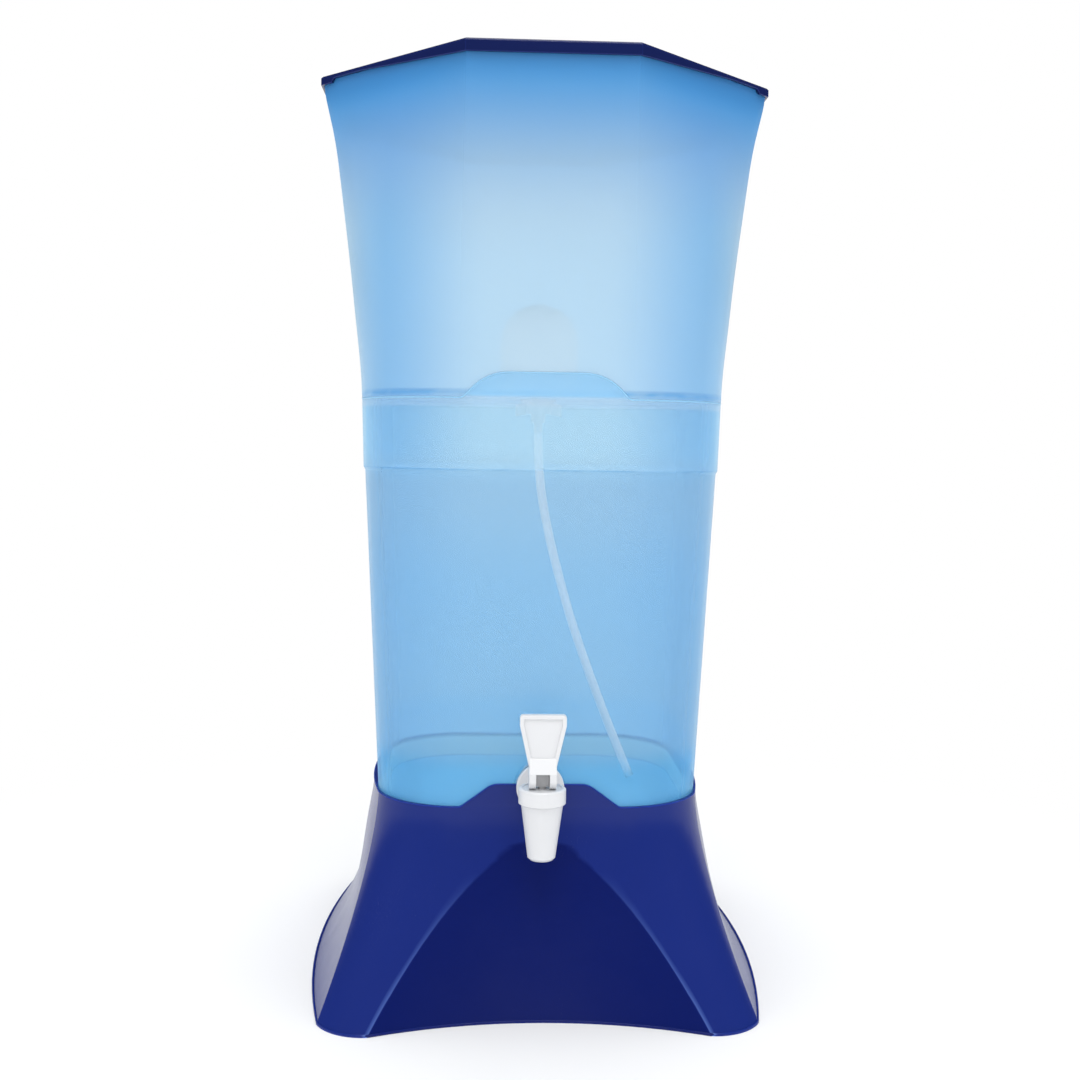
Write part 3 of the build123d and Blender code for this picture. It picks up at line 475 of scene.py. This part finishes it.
# pairs of colours that a surface runs between
CERAMIC = ((0.8, 0.79, 0.74, 1), (0.9, 0.89, 0.86, 1))
CARBON = ((0.05, 0.05, 0.052, 1), (0.006, 0.006, 0.007, 1))
FELT = ((0.66, 0.65, 0.62, 1), (0.88, 0.88, 0.85, 1))
VINYL = ((0.9, 0.95, 0.97, 1), (0.96, 0.98, 0.99, 1))
STEEL = ((0.48, 0.48, 0.5, 1), (0.68, 0.68, 0.68, 1))


def new_material(name, **plain):
    """A material with its shader's plain values set by socket name."""
    material = bpy.data.materials.new(name)
    material.use_nodes = True
    tree = material.node_tree
    shader = tree.nodes["Principled BSDF"]
    for socket, value in plain.items():
        shader.inputs[socket.replace("_", " ")].default_value = value
    return material, tree, shader


def roughen(tree, shader, height, distance, normal=None, strength=1.0):
    """Bump from a height mask, on a given normal if there is one."""
    bump = put(tree, "Bump", {"Height": height, "Distance": distance, "Strength": strength})
    if normal is not None:
        feed(tree, bump.inputs["Normal"], normal)
    feed(tree, shader.inputs["Normal"], bump.outputs[0])


def surface(tree, shader, colour, roughness, height, bump):
    """Feeds a shader's colour and roughness, and a bump from a height mask."""
    feed(tree, shader.inputs["Base Color"], colour)
    feed(tree, shader.inputs["Roughness"], roughness)
    roughen(tree, shader, height, bump)


def gloss_plastic(name, colour, shine, roughness, edge_radius, edge_highlight_gain, scratches, tone=None):
    """Shiny moulded plastic with softened edges that carry a painted highlight, a fine skin and hairline
    scratches. A tone changes the colour from place to place."""
    material, tree, shader = new_material(name, IOR=PLASTIC_IOR, Specular_IOR_Level=shine)
    skin = use_group(
        tree,
        "moulded skin",
        {"Colour": rgba(colour), "Roughness": roughness, "Grain": 1400.0, "Drift": 0.16},
    )
    edges = use_group(tree, "soft edges", {"Radius": edge_radius})
    lines = use_group(tree, "hairlines", {"Density": scratches})
    toned = tone(tree, skin["Colour"]) if tone else skin["Colour"]
    # painted highlight: sharp edges made lighter by the edge mask
    edge_highlit = scale_colour(tree, toned, vary(tree, edges["Mask"], base=1.0, gain=edge_highlight_gain))
    feed(tree, shader.inputs["Base Color"], edge_highlit)
    worn = vary(tree, lines["Mask"], skin["Roughness"], SCRATCH_ROUGHNESS)
    feed(tree, shader.inputs["Roughness"], worn)
    height = vary(tree, lines["Mask"], skin["Height"], SCRATCH_DEPTH)
    roughen(tree, shader, height, distance=0.00001, normal=edges["Normal"], strength=0.5)
    return material


def shade_hollow(tree, colour):
    """Paints shade into a colour in the stand's arched hollow, and a painted highlight along the hollow's
    edge.
    """
    axes = object_axes(tree)
    rise = maths(tree, "DIVIDE", maths(tree, "SUBTRACT", axes["Z"], HOLLOW_LOW[0]), HOLLOW_RISE)
    depth = vary(tree, rise, HOLLOW_LOW[1], HOLLOW_HIGH[1] - HOLLOW_LOW[1])
    sagitta = vary(tree, rise, HOLLOW_LOW[2], HOLLOW_HIGH[2] - HOLLOW_LOW[2])
    # the radius of an arc from its half chord and its sagitta
    curve = maths(tree, "DIVIDE", HALF_CHORD**2 / 2, sagitta)
    curve = vary(tree, sagitta, curve, gain=0.5)
    sideways = maths(tree, "MULTIPLY", axes["X"], axes["X"])
    drop = maths(tree, "SQRT", maths(tree, "SUBTRACT", maths(tree, "POWER", curve, 2.0), sideways))
    front = maths(tree, "ADD", depth, maths(tree, "SUBTRACT", curve, drop))
    behind = maths(tree, "ADD", axes["Y"], front)
    beside = ramp(tree, behind, RIDGE_START, RIDGE_END)
    arch = vary(tree, sideways, axes["Z"], CROWN_CURVE)
    over = ramp(tree, arch, CROWN - CROWN_BLUR, CROWN + CROWN_BLUR)
    outside = maths(tree, "MAXIMUM", beside, over)
    near = ramp(tree, behind, RIDGE_END, RIDGE_FADE, first=1.0, last=0.0)
    low = ramp(tree, axes["Z"], 0.0, RIDGE_TOP, first=RIDGE_SHARE, last=0.0)
    shaded_colour = multiply_colours(tree, colour, HOLLOW_SHADE_TINT)
    ridge_highlight = maths(tree, "MULTIPLY", maths(tree, "MULTIPLY", beside, near), low)
    return blend_colours(tree, ridge_highlight, blend_colours(tree, outside, shaded_colour, colour), RIDGE_HIGHLIGHT_TINT)


def vessel_plastic(name, foot, depth, haze, bands, line):
    """Frosted see-through plastic. Its colour, the depth of the painted shade at its corners and its haze
    change with height, band by band, and a darker line runs around at one height: a mould line on the
    lower container, a painted shadow on the upper one."""
    finish, _, _ = settings()
    material, tree, shader = new_material(name, IOR=PLASTIC_IOR)
    colour = rgba(foot)
    for start, end, tint, band_corner_shade, band_haze in bands:
        band = use_group(
            tree, "height tint", {"Colour": colour, "Tint": rgba(tint), "Start": start, "End": end}
        )
        colour = band["Colour"]
        depth = blend_values(tree, band["Share"], depth, band_corner_shade)
        haze = blend_values(tree, band["Share"], haze, band_haze)
    # painted shade towards the upright corners of each face, as deep as the bands give
    colour = use_group(tree, "face glow", {"Colour": colour, "Depth": depth})["Colour"]
    skin = use_group(
        tree,
        "moulded skin",
        {
            "Colour": colour,
            "Roughness": WALL_ROUGHNESS,
            "Grain": 700.0,
            "Drift": 0.06,
            "Rough Spread": 0.12,
        },
    )
    # a mould line on the lower container, a painted shadow on the upper one
    mask = use_group(tree, "witness and shadow line", line)["Mask"]
    line_or_shadow_colour = multiply_colours(tree, skin["Colour"], LINE_TINT)
    colour = blend_colours(tree, mask, skin["Colour"], line_or_shadow_colour)
    surface(tree, shader, colour, skin["Roughness"], skin["Height"], bump=0.00002)
    # a wall seen edge on is thicker to look through
    facing = put(tree, "LayerWeight", {"Blend": 0.5}).outputs["Facing"]
    edge_on = maths(tree, "POWER", facing, EDGE_ON_POWER)
    clear = maths(tree, "SUBTRACT", 1.0, haze)
    seen = vary(tree, maths(tree, "MULTIPLY", clear, edge_on), haze, EDGE_ON_GAIN)
    # light passes the wall more freely than the eye does, so that the inside is lit
    shadow = put(tree, "LightPath").outputs["Is Shadow Ray"]
    held_back = vary(tree, shadow, base=1.0, gain=finish.wall_shade - 1.0)
    feed(tree, shader.inputs["Alpha"], maths(tree, "MULTIPLY", seen, held_back, clamp=True))
    return material


def skin_only(name, ior, bump, skin):
    """A material that shows nothing but a moulded skin, with the skin's values by name."""
    material, tree, shader = new_material(name, IOR=ior)
    shown = use_group(tree, "moulded skin", skin)
    surface(tree, shader, shown["Colour"], shown["Roughness"], shown["Height"], bump)
    return material


def matt_plastic(name, colour, roughness):
    """Plain satin or matt moulded plastic."""
    skin = {"Colour": rgba(colour), "Roughness": roughness, "Grain": 800.0, "Drift": 0.12}
    return skin_only(name, PLASTIC_IOR, bump=0.00003, skin=skin)


def soft_rubber(name, colour, roughness):
    """Pale elastomer with a dull bloom."""
    skin = {"Colour": rgba(colour), "Roughness": roughness, "Grain": 500.0, "Drift": 0.2}
    return skin_only(name, RUBBER_IOR, bump=0.00006, skin={**skin, "Rough Spread": 0.2})


def fired_ceramic():
    """Unglazed white ceramic with open pores."""
    material, tree, shader = new_material("unglazed ceramic", Specular_IOR_Level=0.25)
    place = object_place(tree)
    pores = put(tree, "TexVoronoi", {"Vector": place, "Scale": 950.0, "Randomness": 1.0})
    between = ramp(tree, pores.outputs["Distance"], *PORE_EDGES)
    body = blend_colours(tree, noise(tree, place, scale=60.0, detail=5.0), *CERAMIC)
    colour = blend_colours(tree, between, PORE, body)
    surface(tree, shader, colour, vary(tree, between, base=0.96, gain=-0.08), between, bump=0.00015)
    return material


def carbon_granules():
    """Packed black carbon grains."""
    material, tree, shader = new_material("carbon granules")
    cells = put(tree, "TexVoronoi", {"Vector": object_place(tree), "Scale": 620.0})
    edge = cells.outputs["Distance"]
    colour = blend_colours(tree, edge, *CARBON)
    height = maths(tree, "SUBTRACT", 1.0, edge)
    surface(tree, shader, colour, vary(tree, edge, base=0.5, gain=0.3), height, bump=0.0005)
    return material


def pressed_felt():
    """White fibre pad."""
    material, tree, shader = new_material("pressed felt", Sheen_Weight=0.4)
    fibres = noise(tree, object_place(tree), scale=900.0, detail=6.0, Distortion=1.6)
    colour = blend_colours(tree, fibres, *FELT)
    surface(tree, shader, colour, vary(tree, fibres, base=0.88, gain=0.1), fibres, bump=0.0004)
    return material


def clear_hose_vinyl():
    """Milky clear vinyl with a little haze that varies along the hose."""
    material, tree, shader = new_material("clear vinyl", IOR=1.52)
    cloud = noise(tree, object_place(tree), scale=45.0, detail=3.0)
    colour = blend_colours(tree, cloud, *VINYL)
    surface(tree, shader, colour, vary(tree, cloud, base=0.12, gain=0.1), cloud, bump=0.00005)
    feed(tree, shader.inputs["Alpha"], vary(tree, cloud, base=0.88, gain=0.1))
    return material


def drawn_steel():
    """Bright stainless wire with fine marks from drawing."""
    material, tree, shader = new_material("drawn steel", Metallic=1.0)
    marks = noise(tree, object_place(tree), scale=2600.0, detail=2.0)
    colour = blend_colours(tree, marks, *STEEL)
    surface(tree, shader, colour, vary(tree, marks, base=0.16, gain=0.2), marks, bump=0.00002)
    return material


def finish_node(name, material):
    """Gives a node of the frame its material."""
    mesh = NODES[name].data
    mesh.materials.clear()
    mesh.materials.append(material)


# ---------------------------------------------------------------- objects and beads


def add_object(context, name, data):
    """A new object of the scene, from its data."""
    thing = bpy.data.objects.new(name, data)
    context.scene.collection.objects.link(thing)
    return thing


def round_curve(name, radius, roundness, capped):
    """A curve that is a round bar or tube once it has a line."""
    curve = bpy.data.curves.new(name, "CURVE")
    curve.dimensions = "3D"
    curve.bevel_depth = radius
    curve.bevel_resolution = roundness
    curve.use_fill_caps = capped
    return curve


def outer_edges(node, kept):
    """Runs of points along the edges where a node's outside turns over onto a rim or a foot."""
    form = bmesh.new()
    form.from_mesh(NODES[node].data)
    bmesh.ops.remove_doubles(form, verts=form.verts, dist=WELD)
    ways = {}
    for edge in form.edges:
        middle = (edge.verts[0].co + edge.verts[1].co) / 2
        outward = Vector((middle.x, middle.y, 0)).normalized()
        if len(edge.link_faces) != 2 or edge.calc_face_angle() < BEAD_TURN:
            continue
        turned, wall = sorted((face.normal for face in edge.link_faces), key=outward.dot)
        upright = outward.dot(wall) > WALL_OUTWARD and outward.dot(turned) < RIM_OUTWARD
        if upright and kept(middle, turned):
            first, second = edge.verts
            ways.setdefault(first.index, []).append(second.index)
            ways.setdefault(second.index, []).append(first.index)
    form.verts.ensure_lookup_table()
    places = [vert.co.copy() for vert in form.verts]
    form.free()
    runs = []
    while ways:
        start = min(ways, key=lambda index: (len(ways[index]), index))
        run = [start]
        while run[-1] in ways and ways[run[-1]]:
            here = run[-1]
            onward = ways[here].pop(0)
            ways[onward].remove(here)
            run.append(onward)
        ways = {index: others for index, others in ways.items() if others}
        runs.append([places[index] for index in run])
    return runs


def add_bead(context, name, node, kept, radius, inward, upward, material, body):
    """A thin rounded bead along the outer edge of a rim or a foot, inside the whole part's box."""
    low, high = CAD_BOX
    curve = round_curve(name, radius, roundness=3, capped=True)
    for run in outer_edges(node, kept):
        closed = run[0] == run[-1]
        points = run[:-1] if closed else run
        spline = curve.splines.new("POLY")
        spline.points.add(len(points) - 1)
        for point, place in zip(spline.points, points):
            outward = Vector((place.x, place.y, 0)).normalized()
            middle = place - outward * inward + Vector((0, 0, upward))
            for axis in (0, 1):
                middle[axis] = min(max(middle[axis], low[axis] + radius), high[axis] - radius)
            point.co = (*middle, 1.0)
        spline.use_cyclic_u = closed
    curve.materials.append(material)
    piece = add_object(context, name, curve)
    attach(piece, body)


# ---------------------------------------------------------------- stand


class FILTER_OT_stand(bpy.types.Operator):
    """Finish the flared stand"""

    bl_idname = "water_filter.stand"
    bl_label = "Stand"

    def execute(self, context):
        finish, _, _ = settings()
        navy = gloss_plastic(
            "stand navy",
            finish.navy,
            shine=0.25,
            roughness=0.22,
            edge_radius=0.0012,
            edge_highlight_gain=3.0,
            scratches=0.25,
            tone=shade_hollow,
        )
        finish_node("stand", navy)
        add_bead(
            context,
            "stand_foot_bead",
            node="stand",
            kept=lambda middle, turned: middle.z < FOOT_HEIGHT and turned.z < FACING_DOWN,
            radius=FOOT_BEAD,
            inward=FOOT_BEAD,
            upward=FOOT_BEAD,
            material=navy,
            body="stand",
        )
        add_bead(
            context,
            "stand_rim_bead",
            node="stand",
            kept=lambda middle, turned: (
                middle.z > STAND_RIM and turned.z > FACING_UP and abs(middle.x) > NOTCH
            ),
            radius=RIM_BEAD,
            inward=0.5 * RIM_BEAD,
            upward=-0.5 * RIM_BEAD,
            material=navy,
            body="stand",
        )
        return {"FINISHED"}


# ---------------------------------------------------------------- lid


class FILTER_OT_lid(bpy.types.Operator):
    """Finish the lid"""

    bl_idname = "water_filter.lid"
    bl_label = "Lid"

    def execute(self, context):
        finish, _, _ = settings()
        navy = gloss_plastic(
            "lid navy",
            finish.lid,
            shine=0.3,
            roughness=0.2,
            edge_radius=0.0007,
            edge_highlight_gain=3.0,
            scratches=0.4,
        )
        finish_node("lid", navy)
        return {"FINISHED"}


# ---------------------------------------------------------------- containers


class FILTER_OT_vessels(bpy.types.Operator):
    """Finish the two frosted containers"""

    bl_idname = "water_filter.vessels"
    bl_label = "Containers"

    def execute(self, context):
        finish, _, _ = settings()
        thick, plain, thin = finish.floor_haze, finish.wall_haze, finish.collar_haze
        # each band's start and end in height, its colour, the depth of its painted corner shade and its
        # haze
        lower_bands = (
            # painted light on the wall behind the stand, which lies in its shade
            (0.0995, 0.1015, finish.back, 0.2, thick),
            (0.1125, 0.1155, finish.foot, 0.4, plain),
            (0.134, 0.15, finish.low, 0.4, plain),
            (0.15, 0.235, finish.middle, 0.4, plain),
            (0.235, 0.3, finish.step, 0.5, plain),
            (0.3, 0.325, finish.collar, 1.0, thin),
            (0.3465, 0.3485, finish.upper, 0.6, thin),
            (0.352, 0.3545, finish.hump, 0.3, UPPER_HAZE),
        )
        upper_bands = (
            (0.35, 0.356, finish.upper, 0.85, UPPER_HAZE),
            # painted shadow of the lid, near the mouth and right under it
            (0.445, 0.545, finish.mouth, 0.1, thick),
            (0.522, 0.545, finish.brim_shadow, 0.1, thick),
        )
        lower = vessel_plastic(
            "lower frosted blue", finish.floor, depth=0.4, haze=thick, bands=lower_bands, line=STEP_LINE
        )
        finish_node("lower_container", lower)
        upper = vessel_plastic(
            "upper frosted blue", finish.upper, depth=0.6, haze=thin, bands=upper_bands, line=REST_SHADOW_LINE
        )
        finish_node("upper_container", upper)
        add_bead(
            context,
            "container_rim_bead",
            node="lower_container",
            kept=lambda middle, turned: middle.z > CONTAINER_RIM and turned.z > FACING_UP,
            radius=RIM_BEAD,
            inward=0.5 * RIM_BEAD,
            upward=-0.8 * RIM_BEAD,
            material=matt_plastic("rim blue", finish.bead, roughness=0.3),
            body="lower_vessel",
        )
        return {"FINISHED"}


# ---------------------------------------------------------------- filter candle


class FILTER_OT_candle(bpy.types.Operator):
    """Finish the filter candle, its base and its nut"""

    bl_idname = "water_filter.candle"
    bl_label = "Filter candle"

    def execute(self, context):
        finish, _, _ = settings()
        finish_node("candle_shell", fired_ceramic())
        finish_node("carbon_core", carbon_granules())
        finish_node("carbon_pad", pressed_felt())
        base = matt_plastic("candle base white", finish.white, roughness=0.42)
        for name in ("candle_base", "wing_nut"):
            finish_node(name, base)
        return {"FINISHED"}


# ---------------------------------------------------------------- hose

# the hose's line from the candle's nipple to its free end
HOSE_ROUTE = (
    (0.0, 0.0, 0.334),
    (0.0004, 0.0003, 0.315),
    (0.0032, 0.0012, 0.290),
    (0.0092, 0.0028, 0.262),
    (0.0162, 0.0048, 0.236),
    (0.0240, 0.0072, 0.210),
    (0.0332, 0.0098, 0.184),
    (0.0432, 0.0127, 0.158),
    (0.0536, 0.0160, 0.132),
    (0.0654, 0.0194, 0.1044),
)


class FILTER_OT_hose(bpy.types.Operator):
    """Hang the outlet hose from the candle's nipple"""

    bl_idname = "water_filter.hose"
    bl_label = "Outlet hose"

    def execute(self, context):
        _, hose, _ = settings()
        curve = round_curve("drip_hose", hose.radius, roundness=6, capped=False)
        spline = curve.splines.new("NURBS")
        spline.points.add(len(HOSE_ROUTE) - 1)
        for point, place in zip(spline.points, HOSE_ROUTE):
            point.co = (*place, 1.0)
        spline.order_u = 3
        spline.use_endpoint_u = True
        spline.resolution_u = 10
        piece = add_object(context, "drip_hose", curve)
        wall = piece.modifiers.new("wall", "SOLIDIFY")
        wall.thickness = hose.wall
        wall.offset = -1
        curve.materials.append(clear_hose_vinyl())
        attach(piece, "upper_vessel")
        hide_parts("outlet_hose")
        return {"FINISHED"}


# ---------------------------------------------------------------- tap

# the return spring's wire radius in metres, and its turns
SPRING_WIRE = 0.00045
SPRING_TURNS = 7
POINTS_PER_TURN = 24


def coil_spring(context, name, low, high, material):
    """A coil spring between the lowest and highest corners of its room, wound upwards."""
    centre = (low + high) / 2
    radius = (high.x - low.x) / 2 - SPRING_WIRE
    height = high.z - low.z - 2 * SPRING_WIRE
    curve = round_curve(name, SPRING_WIRE, roundness=3, capped=True)
    spline = curve.splines.new("POLY")
    count = SPRING_TURNS * POINTS_PER_TURN
    spline.points.add(count)
    for step, point in enumerate(spline.points):
        turn = step / POINTS_PER_TURN * math.tau
        rise = low.z + SPRING_WIRE + height * step / count
        point.co = (centre.x + radius * math.cos(turn), centre.y + radius * math.sin(turn), rise, 1.0)
    wound = add_object(context, name + "_line", curve)
    mesh = bpy.data.meshes.new_from_object(wound.evaluated_get(context.evaluated_depsgraph_get()))
    bpy.data.objects.remove(wound)
    mesh.materials.clear()
    mesh.materials.append(material)
    return add_object(context, name, mesh)


class FILTER_OT_tap(bpy.types.Operator):
    """Finish the lever tap and what is inside it"""

    bl_idname = "water_filter.tap"
    bl_label = "Tap"

    def execute(self, context):
        finish, _, _ = settings()
        white = gloss_plastic(
            "tap white",
            finish.white,
            shine=0.5,
            roughness=0.34,
            edge_radius=0.0005,
            edge_highlight_gain=0.04,
            scratches=0.15,
        )
        for name in ("tap_body", "tap_bonnet", "tap_lever", "tap_nut"):
            finish_node(name, white)
        grey = matt_plastic("stem grey", finish.grey, roughness=0.45)
        for name in ("tap_stem", "lever_pin"):
            finish_node(name, grey)
        self.add_spring(context)
        return {"FINISHED"}

    def add_spring(self, context):
        """The return spring, wound in the box of the frame's spring, which it replaces."""
        low, high = (Vector(corner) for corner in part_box("stem_spring"))
        spring = coil_spring(context, "return_spring", low, high, drawn_steel())
        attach(spring, "lower_vessel")
        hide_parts("stem_spring")
        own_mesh(spring)


# ---------------------------------------------------------------- seals


class FILTER_OT_seals(bpy.types.Operator):
    """Finish the gaskets and the tap's valve seal"""

    bl_idname = "water_filter.seals"
    bl_label = "Seals"

    def execute(self, context):
        gasket = soft_rubber("gasket rubber", (0.7, 0.7, 0.67), roughness=0.6)
        for name in ("candle_gasket", "outer_gasket", "inner_gasket"):
            finish_node(name, gasket)
        seal = soft_rubber("seal silicone", (0.75, 0.75, 0.74), roughness=0.45)
        finish_node("valve_seal", seal)
        return {"FINISHED"}


# ---------------------------------------------------------------- studio

CAMERA_PLACE = (-0.0369, -0.8731, 0.3270)
CAMERA_TURN = (-2.535, -1.838, 0.843)  # degrees: to the left, up and anticlockwise
SENSOR = 36.0  # millimetres
CAMERA_SHIFT = -0.05  # how far the view is moved up, as a share of the sensor's width
AIM = Vector((0, 0, 0.28))  # what the lamps face
WHITE = (1, 1, 1, 1)
FLOOR_WHITES = ((0.93, 0.93, 0.93, 1), (0.96, 0.96, 0.96, 1))
FLOOR_NEAR = 0.12  # distance from the middle at which the floor starts to turn white
SEEN_THROUGH = (0.25, 0.55, 0.85, 1)  # the background's tint behind the containers' walls
FACES_PASSED = 4.0  # see-through faces behind which the background has its full tint
DOME_EDGE = 0.1  # upward part of a direction from which on the dome is at its dimmest
DOME_LIGHT = 0.03  # its strength there


def add_softbox(context, name, place, size, power, mirrored=True):
    """A rectangular lamp that faces the object, and shows in its gloss if it is mirrored."""
    lamp = bpy.data.lights.new(name, "AREA")
    lamp.shape = "RECTANGLE"
    lamp.size, lamp.size_y = size
    lamp.energy = power
    box = add_object(context, name, lamp)
    box.location = place
    box.rotation_euler = (AIM - Vector(place)).to_track_quat("-Z", "Y").to_euler()
    box.visible_glossy = mirrored


def seen_rays(tree):
    """1 for rays that show the background: straight ones, reflected ones and those through glass."""
    path = put(tree, "LightPath").outputs
    either = maths(tree, "MAXIMUM", path["Is Camera Ray"], path["Is Glossy Ray"])
    return maths(tree, "MAXIMUM", either, path["Is Transmission Ray"])


def background_colour(tree):
    """White, or the plastic's own tint where it is seen through the containers' walls."""
    depth = put(tree, "LightPath").outputs["Transparent Depth"]
    passed = maths(tree, "DIVIDE", depth, FACES_PASSED, clamp=True)
    return blend_colours(tree, passed, WHITE, SEEN_THROUGH)


def floor_material(clear):
    """Pale floor that takes the object's shadow and turns into plain white further out."""
    material, tree, shader = new_material("pale floor", Roughness=0.8, Specular_IOR_Level=0.1)
    place = object_place(tree)
    colour = blend_colours(tree, noise(tree, place, scale=3.0, detail=2.0), *FLOOR_WHITES)
    feed(tree, shader.inputs["Base Color"], colour)
    distance = put(tree, "VectorMath", {0: place}, operation="LENGTH").outputs["Value"]
    share = ramp(tree, distance, FLOOR_NEAR, clear, smooth=True)
    white = put(tree, "Emission", {"Color": background_colour(tree), "Strength": 1.0})
    mix = put(tree, "MixShader", {"Fac": maths(tree, "MULTIPLY", share, seen_rays(tree))})
    tree.links.new(shader.outputs[0], mix.inputs[1])
    tree.links.new(white.outputs[0], mix.inputs[2])
    tree.links.new(mix.outputs[0], tree.nodes["Material Output"].inputs["Surface"])
    return material


class FILTER_OT_studio(bpy.types.Operator):
    """Set up the floor, the lamps, the world and the camera"""

    bl_idname = "water_filter.studio"
    bl_label = "Studio"

    def execute(self, context):
        _, _, studio = settings()
        self.add_floor(context, studio)
        self.add_world(context, studio)
        key, strip, top = studio.key_power, studio.strip_power, studio.top_power
        add_softbox(context, "key", place=(0.0, -1.0, 1.95), size=(1.2, 0.9), power=key)
        for name, side in (("left strip", -1), ("right strip", 1)):
            place = (side * 1.05, -0.55, 0.55)
            add_softbox(context, name, place, size=(0.6, 1.1), power=strip, mirrored=False)
        add_softbox(context, "top", place=(0.0, 0.5, 1.8), size=(1.0, 0.6), power=top)
        self.add_camera(context, studio)
        context.scene.view_settings.view_transform = "Standard"
        return {"FINISHED"}

    def add_floor(self, context, studio):
        """The square floor, centred under the object."""
        mesh = bpy.data.meshes.new("floor")
        half = studio.floor_size / 2
        corners = [(-half, -half, 0), (half, -half, 0), (half, half, 0), (-half, half, 0)]
        mesh.from_pydata(corners, [], [(0, 1, 2, 3)])
        mesh.materials.append(floor_material(studio.floor_clear))
        floor = add_object(context, "floor", mesh)

    def add_world(self, context, studio):
        """An even plain light. Straight rays see white, and reflected ones see white up to the
        horizon and a dim dome above it."""
        world = bpy.data.worlds.new("plain studio")
        world.use_nodes = True
        tree = world.node_tree
        lit = tree.nodes["Background"]
        lit.inputs["Strength"].default_value = studio.world_light
        lit.inputs["Color"].default_value = WHITE
        way = put(tree, "SeparateXYZ", {"Vector": put(tree, "TexCoord").outputs["Generated"]})
        dome = ramp(tree, way.outputs["Z"], 0.0, DOME_EDGE, first=1.0, last=DOME_LIGHT, smooth=True)
        straight = put(tree, "LightPath").outputs["Is Camera Ray"]
        strength = maths(tree, "MAXIMUM", dome, straight)
        seen = put(tree, "Background", {"Strength": strength, "Color": background_colour(tree)})
        mix = put(tree, "MixShader", {"Fac": seen_rays(tree)})
        tree.links.new(lit.outputs[0], mix.inputs[1])
        tree.links.new(seen.outputs[0], mix.inputs[2])
        tree.links.new(mix.outputs[0], tree.nodes["World Output"].inputs["Surface"])
        context.scene.world = world

    def add_camera(self, context, studio):
        """The camera, turned in the three steps that its angles give."""
        data = bpy.data.cameras.new("camera")
        data.lens = studio.lens
        data.sensor_width = SENSOR
        data.shift_y = CAMERA_SHIFT
        camera = add_object(context, "camera", data)
        left, up, anticlockwise = (math.radians(angle) for angle in CAMERA_TURN)
        turn = (
            Matrix.Rotation(left, 4, "Z")
            @ Matrix.Rotation(math.radians(90) + up, 4, "X")
            @ Matrix.Rotation(anticlockwise, 4, "Z")
        )
        camera.matrix_world = Matrix.Translation(CAMERA_PLACE) @ turn
        context.scene.camera = camera


# ---------------------------------------------------------------- panel and registration


class FILTER_PT_panel(bpy.types.Panel):
    """The steps that dress the water filter"""

    bl_idname = "FILTER_PT_panel"
    bl_label = "Water Filter"
    bl_space_type = "VIEW_3D"
    bl_region_type = "UI"
    bl_category = "Water Filter"

    def draw(self, context):
        column = self.layout.column()
        for operator in OPERATORS:
            column.operator(operator.bl_idname)
        for group in settings():
            box = self.layout.box()
            for name in group.__annotations__:
                box.prop(group, name)


OPERATORS = (
    FILTER_OT_studio,
    FILTER_OT_hose,
    FILTER_OT_stand,
    FILTER_OT_vessels,
    FILTER_OT_lid,
    FILTER_OT_candle,
    FILTER_OT_tap,
    FILTER_OT_seals,
)
CLASSES = (FinishSettings, HoseSettings, StudioSettings, *OPERATORS, FILTER_PT_panel)


def register():
    for cls in CLASSES:
        bpy.utils.register_class(cls)
    bpy.types.Scene.filter_finish = PointerProperty(type=FinishSettings)
    bpy.types.Scene.filter_hose = PointerProperty(type=HoseSettings)
    bpy.types.Scene.filter_studio = PointerProperty(type=StudioSettings)


def unregister():
    del bpy.types.Scene.filter_studio
    del bpy.types.Scene.filter_hose
    del bpy.types.Scene.filter_finish
    for cls in reversed(CLASSES):
        bpy.utils.unregister_class(cls)


def main():
    register()
    make_shared_effects()
    for operator in OPERATORS:
        group, name = operator.bl_idname.split(".")
        getattr(getattr(bpy.ops, group), name)()


if __name__ == "__main__":
    main()
